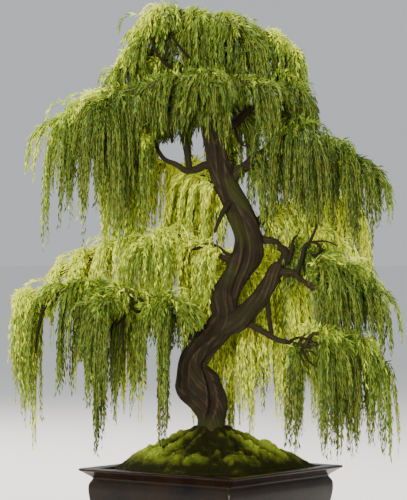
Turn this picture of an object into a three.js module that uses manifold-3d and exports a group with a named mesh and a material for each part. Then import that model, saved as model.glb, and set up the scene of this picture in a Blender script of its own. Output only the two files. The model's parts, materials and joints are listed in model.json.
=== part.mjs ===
// A weeping willow trained as a bonsai, growing out of a moss mound in a square pot with a flared lip.
// Millimetres, +Z up. The front of the tree faces -Y and the origin is the middle of the pot's underside.

import * as THREE from "three";
import { mergeVertices } from "three/addons/utils/BufferGeometryUtils.js";
import Module from "manifold-3d";

const wasm = await Module();
wasm.setup();

// Clearance kept between neighbouring solids
const GAP = 0.3;

// Pot, measured from its middle to the flat of a side
const POT_HEIGHT = 100;
const POT_FRONT_CORNER_TURN = 8;
const LIP_HALF = 143.5;
const LIP_EDGE = 3;
const LIP_TOP_WIDTH = 23.5;
const NECK_HALF = 128;
const NECK_HEIGHT = 84;
const BELLY_HALF = 133;
const BELLY_HEIGHT = 62;
const BELLY_LOWER_HALF = 128;
const BELLY_LOWER_HEIGHT = 38;
const BELLY_UPPER_HALF = 132;
const BELLY_UPPER_HEIGHT = 78;
const LIP_FOOT_HALF = 131;
const LIP_FOOT_HEIGHT = 88;
const BODY_FOOT_HALF = 116;
const BODY_FOOT_HEIGHT = 10;
const FOOT_HALF = 108;
const FOOT_HEIGHT = 8;
const FLOOR_THICKNESS = 14;
const INNER_FLOOR_HALF = 110;

// Soil and moss
const SOIL_BELOW_LIP = 4;
const SOIL_TOP = POT_HEIGHT - SOIL_BELOW_LIP;
const MOSS_FLOOR = SOIL_TOP + 2 * GAP;
const MOSS_HALF_WIDTH = 150;
const MOSS_HALF_DEPTH = 118;
const MOSS_RISE = 57;
const MOSS_EDGE_RISE = 5;
const MOSS_TO_LIP = 4;
const MOSS_SECTORS = 26;
const MOSS_RINGS = 7;
const MOSS_BELL = [1.6, 1.3];
const MOSS_WAVES = [
  { share: 0.035, count: 5, phase: 1 },
  { share: 0.025, count: 9, phase: 0 },
];
const MOSS_ROOTS = 7;
const MOSS_ROOT_RISE = 7;
const MOSS_ROOT_BEND = 0.5;
const MOSS_LUMP_RISE = 2;
const MOSS_LUMPS_ROUND = 9;
const MOSS_LUMPS_OUT = 11;
const MOSS_LUMP_TWIST = 4;

// Trunk: where its middle line bends, and how thick it is there
const TRUNK_BENDS = [
  { height: SOIL_TOP + GAP, x: 1, y: 0, radius: 46 },
  { height: 122, x: 1, y: 0, radius: 28 },
  { height: 155, x: 0, y: 0, radius: 21.5 },
  { height: 198, x: -5, y: -4, radius: 24 },
  { height: 232, x: -22, y: -8, radius: 24 },
  { height: 258, x: -27, y: -7, radius: 20 },
  { height: 283, x: -11, y: -4, radius: 19.5 },
  { height: 320, x: 18, y: 0, radius: 20 },
  { height: 359, x: 22, y: 4, radius: 18 },
  { height: 425, x: 52, y: 8, radius: 19 },
  { height: 470, x: 48, y: 4, radius: 18.5 },
  { height: 537, x: 16, y: 0, radius: 16 },
  { height: 590, x: 4, y: 0, radius: 14.5 },
  { height: 650, x: -13, y: 2, radius: 10 },
  { height: 730, x: -26, y: 2, radius: 5 },
];
const TRUNK_SIDES = 12;
const TRUNK_STEPS = 32;
const TRUNK_LOBES = 3;
const TRUNK_LOBE_SHARE = 0.09;
const TRUNK_TWIST = 7;
const FLARE_TOP = 165;
const FLARE_ROOTS = 5;
const FLARE_ROOT_SHARE = 0.2;

// Boughs: heading is degrees from +X towards +Y, so 90 is away from the front. reach and rise run from
// the parent's middle line to the tip, bow lifts the middle, bend says how far along the bow is, and
// thick is the radius at each end. Each row of foliage is one weeping mass on the bough's tip: turn from
// the bough's heading, reach and lift of its arching stem, drop of the stem's end, and fall of its twigs.
const BOUGHS = [
  { name: "right_bough", from: "trunk", at: 316, heading: 350, reach: 88, rise: 92, bow: -26,
    thick: [17, 10], foliage: [] },
  { name: "right_fork_bough", from: "right_bough", at: 0.92, heading: 350, reach: 58, rise: -28, bow: 8,
    thick: [6, 4], foliage: [
      { turn: 8, reach: 76, lift: 40, drop: 16, fall: 95 },
      { turn: -60, reach: 48, lift: 40, drop: 0, fall: 70 }] },
  { name: "right_loop_bough", from: "trunk", at: 425, heading: 5, reach: 60, rise: -6, bow: 20,
    thick: [8, 5], foliage: [
      { turn: 38, reach: 95, lift: 38, drop: 10, fall: 105 }] },
  { name: "right_low_bough", from: "right_bough", at: 0.32, heading: 348, reach: 108, rise: -42, bow: -8,
    thick: [5.5, 3.5], foliage: [
      { turn: 4, reach: 88, lift: 24, drop: 28, fall: 155 },
      { turn: -48, reach: 62, lift: 24, drop: 8, fall: 180 },
      { turn: 62, reach: 66, lift: 24, drop: 8, fall: 155 }] },
  { name: "left_low_bough", from: "trunk", at: 284, heading: 188, reach: 110, rise: 58, bow: 14,
    thick: [6.5, 4], foliage: [
      { turn: -6, reach: 132, lift: 32, drop: 0, fall: 190 },
      { turn: 48, reach: 82, lift: 24, drop: 5, fall: 150 },
      { turn: -62, reach: 90, lift: 28, drop: 0, fall: 165 },
      { turn: 112, reach: 66, lift: 20, drop: 8, fall: 130 }] },
  { name: "left_mid_bough", from: "trunk", at: 400, heading: 166, reach: 108, rise: 18, bow: 20,
    thick: [8, 4], foliage: [
      { turn: 8, reach: 146, lift: 28, drop: 28, fall: 95 },
      { turn: 66, reach: 66, lift: 26, drop: 5, fall: 95 },
      { turn: -66, reach: 66, lift: 26, drop: 5, fall: 120 }] },
  { name: "left_inner_bough", from: "trunk", at: 556, heading: 184, reach: 95, rise: 24, bow: -22, bend: 0.7,
    thick: [6, 4], foliage: [
      { turn: 22, reach: 46, lift: 18, drop: 5, fall: 190 },
      { turn: -72, reach: 72, lift: 24, drop: 5, fall: 175 }] },
  { name: "left_upper_bough", from: "trunk", at: 630, heading: 183, reach: 105, rise: 22, bow: 16,
    thick: [9, 4.5], foliage: [
      { turn: 0, reach: 106, lift: 14, drop: 40, fall: 140 },
      { turn: 48, reach: 90, lift: 14, drop: 25, fall: 225 },
      { turn: -52, reach: 95, lift: 14, drop: 25, fall: 235 }] },
  { name: "front_bough", from: "trunk", at: 598, heading: 265, reach: 80, rise: 62, bow: 14,
    thick: [8, 4], foliage: [
      { turn: -75, reach: 92, lift: 24, drop: 14, fall: 115 },
      { turn: 0, reach: 42, lift: 24, drop: 0, fall: 115 },
      { turn: 75, reach: 86, lift: 24, drop: 10, fall: 115 }] },
  { name: "right_upper_bough", from: "trunk", at: 585, heading: 355, reach: 80, rise: 78, bow: 4,
    thick: [10, 5], foliage: [
      { turn: -32, reach: 56, lift: 32, drop: 28, fall: 95 },
      { turn: 48, reach: 56, lift: 32, drop: 18, fall: 115 }] },
  { name: "right_mid_bough", from: "trunk", at: 520, heading: 350, reach: 95, rise: 72, bow: 14,
    thick: [9, 4.5], foliage: [
      { turn: 2, reach: 106, lift: 16, drop: 55, fall: 125 },
      { turn: -60, reach: 66, lift: 24, drop: 5, fall: 145 },
      { turn: 52, reach: 95, lift: 24, drop: 25, fall: 140 }] },
  { name: "apex_left_bough", from: "trunk", at: 662, heading: 182, reach: 62, rise: 50, bow: 10,
    thick: [6, 3.5], foliage: [
      { turn: 0, reach: 62, lift: 26, drop: 28, fall: 85 }] },
  { name: "apex_right_bough", from: "trunk", at: 684, heading: 352, reach: 78, rise: 48, bow: 10,
    thick: [6, 3.5], foliage: [
      { turn: 0, reach: 66, lift: 26, drop: 24, fall: 85 }] },
  { name: "apex_back_bough", from: "trunk", at: 650, heading: 82, reach: 60, rise: 66, bow: 10,
    thick: [5.5, 3.5], foliage: [
      { turn: 0, reach: 60, lift: 30, drop: 12, fall: 95 }] },
  { name: "back_upper_bough", from: "trunk", at: 600, heading: 95, reach: 108, rise: 50, bow: 14,
    thick: [9, 4.5], foliage: [
      { turn: -42, reach: 82, lift: 28, drop: 15, fall: 140 },
      { turn: 46, reach: 82, lift: 28, drop: 15, fall: 145 }] },
  { name: "back_mid_bough", from: "trunk", at: 490, heading: 128, reach: 122, rise: 45, bow: 14,
    thick: [9, 4.5], foliage: [
      { turn: -44, reach: 82, lift: 28, drop: 10, fall: 180 },
      { turn: 42, reach: 92, lift: 28, drop: 10, fall: 180 }] },
  { name: "back_low_bough", from: "trunk", at: 335, heading: 75, reach: 108, rise: 60, bow: 14,
    thick: [9, 4.5], foliage: [
      { turn: -46, reach: 84, lift: 28, drop: 10, fall: 235 },
      { turn: 50, reach: 84, lift: 28, drop: 10, fall: 235 }] },
  { name: "back_right_bough", from: "trunk", at: 450, heading: 42, reach: 122, rise: 40, bow: 14,
    thick: [8, 4.5], foliage: [
      { turn: 0, reach: 92, lift: 28, drop: 15, fall: 150 }] },
];
const BOUGH_SIDES = 6;
const BOUGH_STEPS = 5;
const BOUGH_COLLAR_SHARE = 0.35;
const BOUGH_COLLAR_FADE = 6;

// The trunk's own tip carries two masses
const TIP_HEADING = 270;
const TIP_FOLIAGE = [
  { turn: -58, reach: 72, lift: 52, drop: -6, fall: 85 },
  { turn: 58, reach: 78, lift: 50, drop: -6, fall: 85 },
];

// Weeping foliage
const STEM_SETBACK = 10;
const STEM_RADIUS = 3;
const STEM_TIP_RADIUS = 2.2;
const STEM_STEPS = 4;
const TWIG_RADIUS = 1.4;
const TWIG_TIP_RADIUS = 0.9;
const TWIG_SIDES = 3;
const TWIG_STEPS = 4;
const LAST_TWIG_SHARE = 0.985;
const TWIG_SPAN = 44;
const TWIG_SPAN_SHARE = [0.6, 1];
const TWIG_SHOULDER_AT = 0.7;
const TWIG_EDGE_DROP = 0.25;
const TWIG_LIFT = [4, 13];
const TWIG_TURN = [15, 60];
const TWIG_TURN_LOSS = 0.5;
const TWIG_FALL_SHARE = [0.72, 1];
const TWIG_LENGTHS_TRIED = [1, 0.8, 0.6, 0.45];
const TWIG_SWINGS_TRIED = [1, 0.5, 0];
const REACH_PER_TWIG = 34;
const FEWEST_TWIGS = 3;
const LEAF_SPACING = 44;
const FEWEST_LEAVES = 3;
const MOST_LEAVES = 4;
const FIRST_LEAF_AT = 0.8;
const LAST_LEAF_SHORT_OF_TIP = 0.1;
const LEAF_LENGTH = [62, 86];
const LEAF_WIDTH = 20;
const LEAF_THICKNESS = 2;
const LEAF_WIDEST_AT = 0.4;
const LEAF_SPLAY = [16, 30];
const LEAF_TURN = 137.5;
const LEAF_DROOP = 0.9;
const LEAF_TRIES = 6;
const LEAF_SHRINK = 0.92;
const LEAF_CLEARANCE = 9;
const LEAF_SHARE_OF_FALL = 0.6;
const LEAF_OVERHANG_SHARE = 0.7;
const LEAF_SUNK = 0.7;
const LEAF_POINTS = [0.3, 0.5, 0.7, 0.9];
const SPACE_ALONG = [0.35, 0.7, 1];
const SPACE_DOWN = [0.3, 0.6, 0.9];
const SPACE_OVERHANG_SHARE = 0.6;
const SPACE_MARGIN = 2.5;
const LIMB_MARGIN = 2;
const LOWEST_LEAF = POT_HEIGHT + 4;
const FIRST_SEED = 101;

// Finishes
const BARK = { color: 0x3a2a1c, roughness: 0.9, metalness: 0 };
const LEAF = { color: 0x8da32c, roughness: 0.6, metalness: 0 };
const MOSS = { color: 0x55641a, roughness: 0.95, metalness: 0 };
const SOIL = { color: 0x35281d, roughness: 1, metalness: 0 };
const GLAZE = { color: 0x39322d, roughness: 0.45, metalness: 0 };

const UP = new THREE.Vector3(0, 0, 1);
const tree = new THREE.Group();

// A seeded random number between low and high
function seeded(seed) {
  let state = seed >>> 0;
  return ([low, high]) => {
    state = (Math.imul(1664525, state) + 1013904223) >>> 0;
    return low + ((high - low) * state) / 2 ** 32;
  };
}

// The level direction at so many degrees from +X towards +Y
function levelDirection(degrees) {
  const angle = THREE.MathUtils.degToRad(degrees);
  return new THREE.Vector3(Math.cos(angle), Math.sin(angle), 0);
}

function solidOf(geometry) {
  geometry.deleteAttribute("normal");
  geometry.deleteAttribute("uv");
  const merged = mergeVertices(geometry);
  return new wasm.Manifold(
    new wasm.Mesh({
      numProp: 3,
      vertProperties: merged.getAttribute("position").array,
      triVerts: new Uint32Array(merged.index.array),
    }),
  );
}

// The largest body of a solid, without the scraps that a cut leaves
function largestBody(solid) {
  const bodies = solid.decompose();
  return bodies.reduce((best, body) => (body.volume() > best.volume() ? body : best));
}

function addMesh(parent, name, shape, finish) {
  let geometry = shape;
  if (!shape.isBufferGeometry) {
    const made = shape.getMesh();
    geometry = new THREE.BufferGeometry();
    geometry.setAttribute("position", new THREE.BufferAttribute(made.vertProperties, 3));
    geometry.setIndex(new THREE.BufferAttribute(made.triVerts, 1));
  }
  geometry.computeVertexNormals();
  const mesh = new THREE.Mesh(geometry, new THREE.MeshStandardMaterial(finish));
  mesh.name = name;
  parent.add(mesh);
}

// A capped cylinder bent along a path. radiusAt takes the share of the path and the angle round it, and
// grow makes the limb that much larger round its wall and past its tip.
function limbGeometry(path, radiusAt, sides, steps, grow = 0) {
  const geometry = new THREE.CylinderGeometry(1, 1, 1, sides, steps);
  const frames = path.computeFrenetFrames(steps);
  const place = geometry.getAttribute("position");
  for (let i = 0; i < place.count; i++) {
    const share = place.getY(i) + 0.5;
    const step = Math.round(share * steps);
    const angle = Math.atan2(place.getX(i), place.getZ(i));
    const onWall = Math.hypot(place.getX(i), place.getZ(i));
    const radius = onWall * (radiusAt(share, angle) + grow);
    const endGrow = step === steps ? grow : 0;
    const point = path.getPointAt(share);
    point.addScaledVector(frames.binormals[step], radius * Math.sin(angle));
    point.addScaledVector(frames.normals[step], radius * Math.cos(angle));
    point.addScaledVector(frames.tangents[step], endGrow);
    place.setXYZ(i, point.x, point.y, point.z);
  }
  return geometry;
}

// A point on the middle line of a limb of so many straight steps
function middleOf(path, share, steps) {
  const step = Math.min(Math.floor(share * steps), steps - 1);
  const from = path.getPointAt(step / steps);
  return from.lerp(path.getPointAt((step + 1) / steps), share * steps - step);
}

// A square vessel or block: a profile of half-widths and heights, turned in four flat sides
function squareGeometry(profile) {
  const toCorner = Math.SQRT2;
  const points = profile.map(([half, height]) => new THREE.Vector2(half * toCorner, height));
  return new THREE.LatheGeometry(points, 4).rotateX(Math.PI / 2);
}

function innerHalfAt(height) {
  const lipInner = LIP_HALF - LIP_TOP_WIDTH;
  const share = (height - FLOOR_THICKNESS) / (POT_HEIGHT - FLOOR_THICKNESS);
  return INNER_FLOOR_HALF + (lipInner - INNER_FLOOR_HALF) * share;
}

function buildPot() {
  const pot = new THREE.Group();
  pot.rotation.z = THREE.MathUtils.degToRad(POT_FRONT_CORNER_TURN);
  const outside = [
    [0, 0],
    [FOOT_HALF, 0],
    [FOOT_HALF, FOOT_HEIGHT],
    [BODY_FOOT_HALF, BODY_FOOT_HEIGHT],
    [BELLY_LOWER_HALF, BELLY_LOWER_HEIGHT],
    [BELLY_HALF, BELLY_HEIGHT],
    [BELLY_UPPER_HALF, BELLY_UPPER_HEIGHT],
    [NECK_HALF, NECK_HEIGHT],
    [LIP_FOOT_HALF, LIP_FOOT_HEIGHT],
    [LIP_HALF, POT_HEIGHT - LIP_EDGE],
    [LIP_HALF, POT_HEIGHT],
  ];
  const inside = [
    [innerHalfAt(POT_HEIGHT), POT_HEIGHT],
    [INNER_FLOOR_HALF, FLOOR_THICKNESS],
    [0, FLOOR_THICKNESS],
  ];
  addMesh(pot, "pot", squareGeometry([...outside, ...inside]), GLAZE);
  const soilFloor = FLOOR_THICKNESS + GAP;
  const soil = [
    [0, soilFloor],
    [innerHalfAt(soilFloor) - GAP, soilFloor],
    [innerHalfAt(SOIL_TOP) - GAP, SOIL_TOP],
    [0, SOIL_TOP],
  ];
  addMesh(pot, "soil", squareGeometry(soil), SOIL);
  tree.add(pot);
}

// How far the moss may spread at an angle: an oval kept inside the pot's lip
function mossReach(angle) {
  const oval = 1 / Math.hypot(Math.cos(angle) / MOSS_HALF_WIDTH, Math.sin(angle) / MOSS_HALF_DEPTH);
  const waves = MOSS_WAVES.map(({ share, count, phase }) => share * Math.sin(count * angle + phase));
  const wavy = oval * waves.reduce((sum, wave) => sum + wave, 1);
  const quarter = Math.PI / 2;
  const toCorner = angle - THREE.MathUtils.degToRad(POT_FRONT_CORNER_TURN);
  const toFlat = THREE.MathUtils.euclideanModulo(toCorner, quarter) - quarter / 2;
  const wall = (innerHalfAt(SOIL_TOP) - MOSS_TO_LIP) / Math.cos(toFlat);
  return Math.min(wavy, wall);
}

// Height of the moss over the soil: a bell, with ridges where roots run out under it
function mossHeight(share, angle) {
  const bell = (1 - share ** MOSS_BELL[0]) ** MOSS_BELL[1];
  const ridge = Math.max(0, Math.cos(MOSS_ROOTS * (angle + MOSS_ROOT_BEND * share))) ** 2;
  const lumpsRound = Math.sin(MOSS_LUMPS_ROUND * angle + MOSS_LUMP_TWIST * share);
  const lumps = lumpsRound * Math.sin(MOSS_LUMPS_OUT * share + angle);
  const middle = 4 * share * (1 - share);
  return MOSS_EDGE_RISE + MOSS_RISE * bell + middle * (MOSS_ROOT_RISE * ridge + MOSS_LUMP_RISE * lumps);
}

function mossSolid() {
  const rings = Array.from({ length: MOSS_RINGS + 1 }, (_, i) => new THREE.Vector2(i / MOSS_RINGS, 1));
  const profile = [...rings, new THREE.Vector2(1, 0), new THREE.Vector2(0, 0)].reverse();
  const geometry = new THREE.LatheGeometry(profile, MOSS_SECTORS).rotateX(Math.PI / 2);
  const place = geometry.getAttribute("position");
  for (let i = 0; i < place.count; i++) {
    const share = Math.hypot(place.getX(i), place.getY(i));
    const angle = Math.atan2(place.getY(i), place.getX(i));
    const reach = share * mossReach(angle);
    const height = place.getZ(i) * mossHeight(Math.min(share, 1), angle);
    place.setXYZ(i, reach * Math.cos(angle), reach * Math.sin(angle), MOSS_FLOOR + height);
  }
  return solidOf(geometry);
}

const trunkPath = new THREE.CatmullRomCurve3(
  TRUNK_BENDS.map((bend) => new THREE.Vector3(bend.x, bend.y, bend.height)),
  false,
  "catmullrom",
);

// The trunk's radius from its bends, with twisting lobes above and spreading root ridges at the foot
function trunkRadius(share, angle) {
  const spot = trunkPath.getUtoTmapping(share) * (TRUNK_BENDS.length - 1);
  const below = Math.min(Math.floor(spot), TRUNK_BENDS.length - 2);
  const between = THREE.MathUtils.smoothstep(spot - below, 0, 1);
  const radius = THREE.MathUtils.lerp(TRUNK_BENDS[below].radius, TRUNK_BENDS[below + 1].radius, between);
  const height = trunkPath.getPointAt(share).z;
  const flare = Math.max(0, (FLARE_TOP - height) / (FLARE_TOP - SOIL_TOP));
  const roots = FLARE_ROOT_SHARE * flare * Math.cos(FLARE_ROOTS * angle);
  const lobes = TRUNK_LOBE_SHARE * Math.cos(TRUNK_LOBES * angle + TRUNK_TWIST * share);
  return radius * (1 + roots + lobes);
}

// The point of the trunk's middle line at a height
function trunkAt(height) {
  let low = 0;
  let high = 1;
  for (let i = 0; i < 40; i++) {
    const middle = (low + high) / 2;
    if (trunkPath.getPoint(middle).z < height) low = middle;
    else high = middle;
  }
  return trunkPath.getPoint(low);
}

function trunkSolid(grow) {
  return solidOf(limbGeometry(trunkPath, trunkRadius, TRUNK_SIDES, TRUNK_STEPS, grow));
}

const paths = new Map([["trunk", trunkPath]]);
const grown = new Map([["trunk", trunkSolid(GAP)]]);
// Balls along every limb, for keeping foliage clear of the wood
const limbBalls = [];

function addLimbBalls(path, radiusAt, count, owner = null) {
  for (let i = 0; i <= count; i++) {
    const share = i / count;
    limbBalls.push({ point: path.getPointAt(share), radius: radiusAt(share, 0), owner });
  }
}

function buildTrunk() {
  const trunk = trunkSolid(0);
  addMesh(tree, "moss_mound", largestBody(mossSolid().subtract(grown.get("trunk"))), MOSS);
  addMesh(tree, "trunk", trunk, BARK);
  addLimbBalls(trunkPath, trunkRadius, 4 * TRUNK_STEPS);
}

function boughPath(bough) {
  const parent = paths.get(bough.from);
  const start = bough.from === "trunk" ? trunkAt(bough.at) : parent.getPoint(bough.at);
  const tip = start.clone().addScaledVector(levelDirection(bough.heading), bough.reach);
  tip.addScaledVector(UP, bough.rise);
  const middle = start.clone().lerp(tip, bough.bend ?? 0.5);
  middle.addScaledVector(UP, 2 * bough.bow);
  return new THREE.QuadraticBezierCurve3(start, middle, tip);
}

function boughRadius([foot, tip]) {
  return (share) => {
    const collar = BOUGH_COLLAR_SHARE * (1 - share) ** BOUGH_COLLAR_FADE;
    return THREE.MathUtils.lerp(foot, tip, share) * (1 + collar);
  };
}

function buildBough(bough) {
  const path = boughPath(bough);
  const radiusAt = boughRadius(bough.thick);
  const limb = (grow) => solidOf(limbGeometry(path, radiusAt, BOUGH_SIDES, BOUGH_STEPS, grow));
  paths.set(bough.name, path);
  grown.set(bough.name, limb(GAP));
  addMesh(tree, bough.name, largestBody(limb(0).subtract(grown.get(bough.from))), BARK);
  addLimbBalls(path, radiusAt, 4 * BOUGH_STEPS);
}

// The arching stem of a weeping mass, from a point at its bough's tip
function massStem(start, heading, { reach, lift, drop }) {
  const end = start.clone().addScaledVector(levelDirection(heading), reach).addScaledVector(UP, -drop);
  const middle = start.clone().lerp(end, 0.5).addScaledVector(UP, 2 * lift);
  return new THREE.QuadraticBezierCurve3(start, middle, end);
}

// A twig that springs out of the stem, arches over and hangs straight down
function weepingTwig(root, heading, span, lift, fall) {
  const out = levelDirection(heading);
  const shoulder = root.clone().addScaledVector(out, TWIG_SHOULDER_AT * span).addScaledVector(UP, lift);
  const edge = root.clone().addScaledVector(out, span).addScaledVector(UP, -TWIG_EDGE_DROP * fall);
  const tip = root.clone().addScaledVector(out, span).addScaledVector(UP, -fall);
  return new THREE.CubicBezierCurve3(root, shoulder, edge, tip);
}

// The masses with their stems, and the line of points that marks the space of each. The first mass of a
// bough grows from its very tip, and each further one from a little further back.
function planMasses() {
  const carriers = [...BOUGHS, { name: "trunk", heading: TIP_HEADING, foliage: TIP_FOLIAGE }];
  const masses = [];
  for (const { name, heading, foliage } of carriers) {
    const path = paths.get(name);
    foliage.forEach((row, i) => {
      const facing = heading + row.turn;
      const stem = massStem(path.getPointAt(1 - (i * STEM_SETBACK) / path.getLength()), facing, row);
      const spine = stem.getPoints(10).slice(1);
      const overhang = levelDirection(facing).multiplyScalar(SPACE_OVERHANG_SHARE * TWIG_SPAN);
      for (const share of SPACE_ALONG) {
        for (const down of SPACE_DOWN) {
          spine.push(stem.getPoint(share).add(overhang).addScaledVector(UP, -down * row.fall));
        }
      }
      const label = name === "trunk" ? "crown_tip" : name.replace("_bough", "");
      const mass = { name: `${label}_foliage_${i + 1}`, carrier: name, facing, stem, spine, ...row };
      addLimbBalls(stem, () => STEM_RADIUS, 6 * STEM_STEPS, mass);
      masses.push(mass);
    });
  }
  return masses;
}

function distanceTo(points, point) {
  return Math.min(...points.map((other) => other.distanceTo(point)));
}

// Whether points lie in a mass's own space, nearer to its spine than to any other, and clear of all wood
function isClear(points, mass, masses) {
  return points.every((point) => {
    if (point.z < LOWEST_LEAF) return false;
    const touches = (ball) => ball.owner !== mass && ball.point.distanceTo(point) < ball.radius + LIMB_MARGIN;
    if (limbBalls.some(touches)) return false;
    const own = distanceTo(mass.spine, point) + SPACE_MARGIN;
    return masses.every((other) => other === mass || distanceTo(other.spine, point) > own);
  });
}

// A folded leaf from a root along a direction, turned about its length by a roll: a tetrahedron whose one
// edge is the midrib, with the ends of the opposite edge as the leaf's widest points
function leafGeometry(root, along, length, roll) {
  const geometry = new THREE.TetrahedronGeometry(1, 0);
  const place = geometry.getAttribute("position");
  for (let i = 0; i < place.count; i++) {
    const side = Math.sign(place.getX(i));
    if (place.getZ(i) > 0) place.setXYZ(i, 0, (length * (side + 1)) / 2 - LEAF_SUNK, 0);
    else place.setXYZ(i, (side * LEAF_WIDTH) / 2, LEAF_WIDEST_AT * length - LEAF_SUNK, -LEAF_THICKNESS);
  }
  const turn = new THREE.Quaternion().setFromUnitVectors(new THREE.Vector3(0, 1, 0), along);
  turn.multiply(new THREE.Quaternion().setFromAxisAngle(new THREE.Vector3(0, 1, 0), roll));
  return geometry.applyQuaternion(turn).translate(root.x, root.y, root.z);
}

function geometryPoints(geometry) {
  const place = geometry.getAttribute("position");
  return Array.from({ length: place.count }, (_, i) => new THREE.Vector3().fromBufferAttribute(place, i));
}

// The longest of a twig's lengths, and there its widest turn, that stays in the mass's space, or nothing
function fittingTwig(root, turn, span, lift, fall, mass, masses) {
  for (const length of TWIG_LENGTHS_TRIED) {
    for (const swing of TWIG_SWINGS_TRIED) {
      const heading = mass.facing + swing * turn;
      const twig = weepingTwig(root, heading, span * Math.sqrt(length), lift, fall * length);
      if (isClear(twig.getPoints(8).slice(2), mass, masses)) return twig;
    }
  }
  return null;
}

// Leaves spaced down a twig, each turned on from the last so that they spread round it. A leaf that meets
// a twig, a leaf or a limb, or leaves the mass's space, is turned further and made smaller, and skipped if
// that doesn't free it. taken holds the points in use.
function twigLeaves(twig, random, mass, masses, taken) {
  const leaves = [];
  const wanted = Math.round(twig.getLength() / LEAF_SPACING);
  const count = THREE.MathUtils.clamp(wanted, FEWEST_LEAVES, MOST_LEAVES);
  let turn = random([0, 360]);
  for (let i = 0; i < count; i++) {
    const share = (i + FIRST_LEAF_AT) / (count - LAST_LEAF_SHORT_OF_TIP);
    const splay = THREE.MathUtils.degToRad(random(LEAF_SPLAY));
    const fullLength = Math.min(random(LEAF_LENGTH), LEAF_SHARE_OF_FALL * mass.fall);
    const roll = random([0, Math.PI]);
    const root = middleOf(twig, share, TWIG_STEPS);
    for (let tries = 0; tries < LEAF_TRIES; tries++) {
      const length = fullLength * LEAF_SHRINK ** tries;
      turn += LEAF_TURN;
      const along = twig.getTangentAt(share).addScaledVector(UP, -LEAF_DROOP).normalize();
      along.addScaledVector(levelDirection(turn), Math.tan(splay)).normalize();
      const leaf = leafGeometry(root, along, length, roll);
      const line = LEAF_POINTS.map((part) => root.clone().addScaledVector(along, part * length));
      const isFree = line.every((point) => distanceTo(taken, point) > LEAF_CLEARANCE);
      if (!isFree || !isClear([...line, ...geometryPoints(leaf)], mass, masses)) continue;
      leaves.push(leaf);
      taken.push(...line);
      break;
    }
  }
  return leaves;
}

function buildMass(mass, masses, seed) {
  const random = seeded(seed);
  const taper = (foot, tip) => (share) => THREE.MathUtils.lerp(foot, tip, share);
  const stemTaper = taper(STEM_RADIUS, STEM_TIP_RADIUS);
  const twigTaper = taper(TWIG_RADIUS, TWIG_TIP_RADIUS);
  const pieces = [limbGeometry(mass.stem, stemTaper, TWIG_SIDES, STEM_STEPS)];
  const taken = mass.stem.getPoints(2 * STEM_STEPS);
  const twigs = Math.max(FEWEST_TWIGS, Math.floor(mass.reach / REACH_PER_TWIG));
  const overhang = LEAF_OVERHANG_SHARE * Math.min(LEAF_LENGTH[0], LEAF_SHARE_OF_FALL * mass.fall);
  for (let i = 0; i < twigs; i++) {
    const share = (i + 1) / twigs;
    const side = i % 2 ? 1 : -1;
    const turn = side * random(TWIG_TURN) * (1 - TWIG_TURN_LOSS * share);
    const lift = random(TWIG_LIFT);
    const fall = mass.fall * (share === 1 ? 1 : random(TWIG_FALL_SHARE)) - overhang;
    const span = share === 1 ? TWIG_SPAN : TWIG_SPAN * random(TWIG_SPAN_SHARE);
    const root = middleOf(mass.stem, LAST_TWIG_SHARE * share, STEM_STEPS);
    const twig = fittingTwig(root, turn, span, lift, fall, mass, masses);
    if (!twig) continue;
    pieces.push(limbGeometry(twig, twigTaper, TWIG_SIDES, TWIG_STEPS));
    pieces.push(...twigLeaves(twig, random, mass, masses, taken));
    taken.push(...twig.getPoints(2 * TWIG_STEPS));
  }
  const fused = wasm.Manifold.union(pieces.map(solidOf));
  addMesh(tree, mass.name, largestBody(fused.subtract(grown.get(mass.carrier))), LEAF);
}

buildPot();
buildTrunk();
BOUGHS.forEach(buildBough);
planMasses().forEach((mass, i, masses) => buildMass(mass, masses, FIRST_SEED + i));

export default tree;
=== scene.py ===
"""Weeping willow bonsai: bark, weeping foliage, moss, soil and a glazed pot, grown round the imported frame.

Metres, +Z up. The front of the tree faces -Y and the origin is the middle of the pot's underside.
"""

import json
import math
from typing import NamedTuple

import bpy
import numpy as np
from bpy.props import FloatProperty, FloatVectorProperty, IntProperty, PointerProperty
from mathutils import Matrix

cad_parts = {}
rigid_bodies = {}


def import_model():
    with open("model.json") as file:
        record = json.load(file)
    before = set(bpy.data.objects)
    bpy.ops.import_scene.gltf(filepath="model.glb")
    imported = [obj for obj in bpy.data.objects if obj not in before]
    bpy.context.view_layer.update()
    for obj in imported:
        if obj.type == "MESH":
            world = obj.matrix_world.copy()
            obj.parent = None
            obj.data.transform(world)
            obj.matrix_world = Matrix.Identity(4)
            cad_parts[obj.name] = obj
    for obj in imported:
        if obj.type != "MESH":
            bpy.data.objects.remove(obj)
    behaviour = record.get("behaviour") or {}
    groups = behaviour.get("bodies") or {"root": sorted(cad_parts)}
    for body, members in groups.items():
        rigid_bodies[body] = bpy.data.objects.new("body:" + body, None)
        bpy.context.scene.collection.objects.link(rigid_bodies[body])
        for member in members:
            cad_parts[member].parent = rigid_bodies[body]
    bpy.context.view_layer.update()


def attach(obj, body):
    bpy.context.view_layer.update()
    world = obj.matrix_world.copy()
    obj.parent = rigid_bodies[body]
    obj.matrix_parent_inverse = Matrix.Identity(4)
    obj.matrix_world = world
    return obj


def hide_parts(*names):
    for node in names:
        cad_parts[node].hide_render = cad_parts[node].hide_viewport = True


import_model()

bl_info = {
    "name": "Weeping Willow Bonsai",
    "version": (1, 0, 0),
    "blender": (4, 5, 0),
    "location": "View3D > Sidebar > Willow",
    "description": "Grows a weeping willow bonsai with its moss, soil and pot",
    "category": "Object",
}

BODY = "root"
UP = np.array((0.0, 0.0, 1.0))
TURN = 2 * math.pi
GOLDEN_ANGLE = math.radians(137.5)
FIRST_SPOKE = (-1.0, 0.02, 0.01)


class Bend(NamedTuple):
    """A bend of the trunk: where its middle line passes and how thick it is there."""

    height: float
    x: float
    y: float
    radius: float


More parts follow.
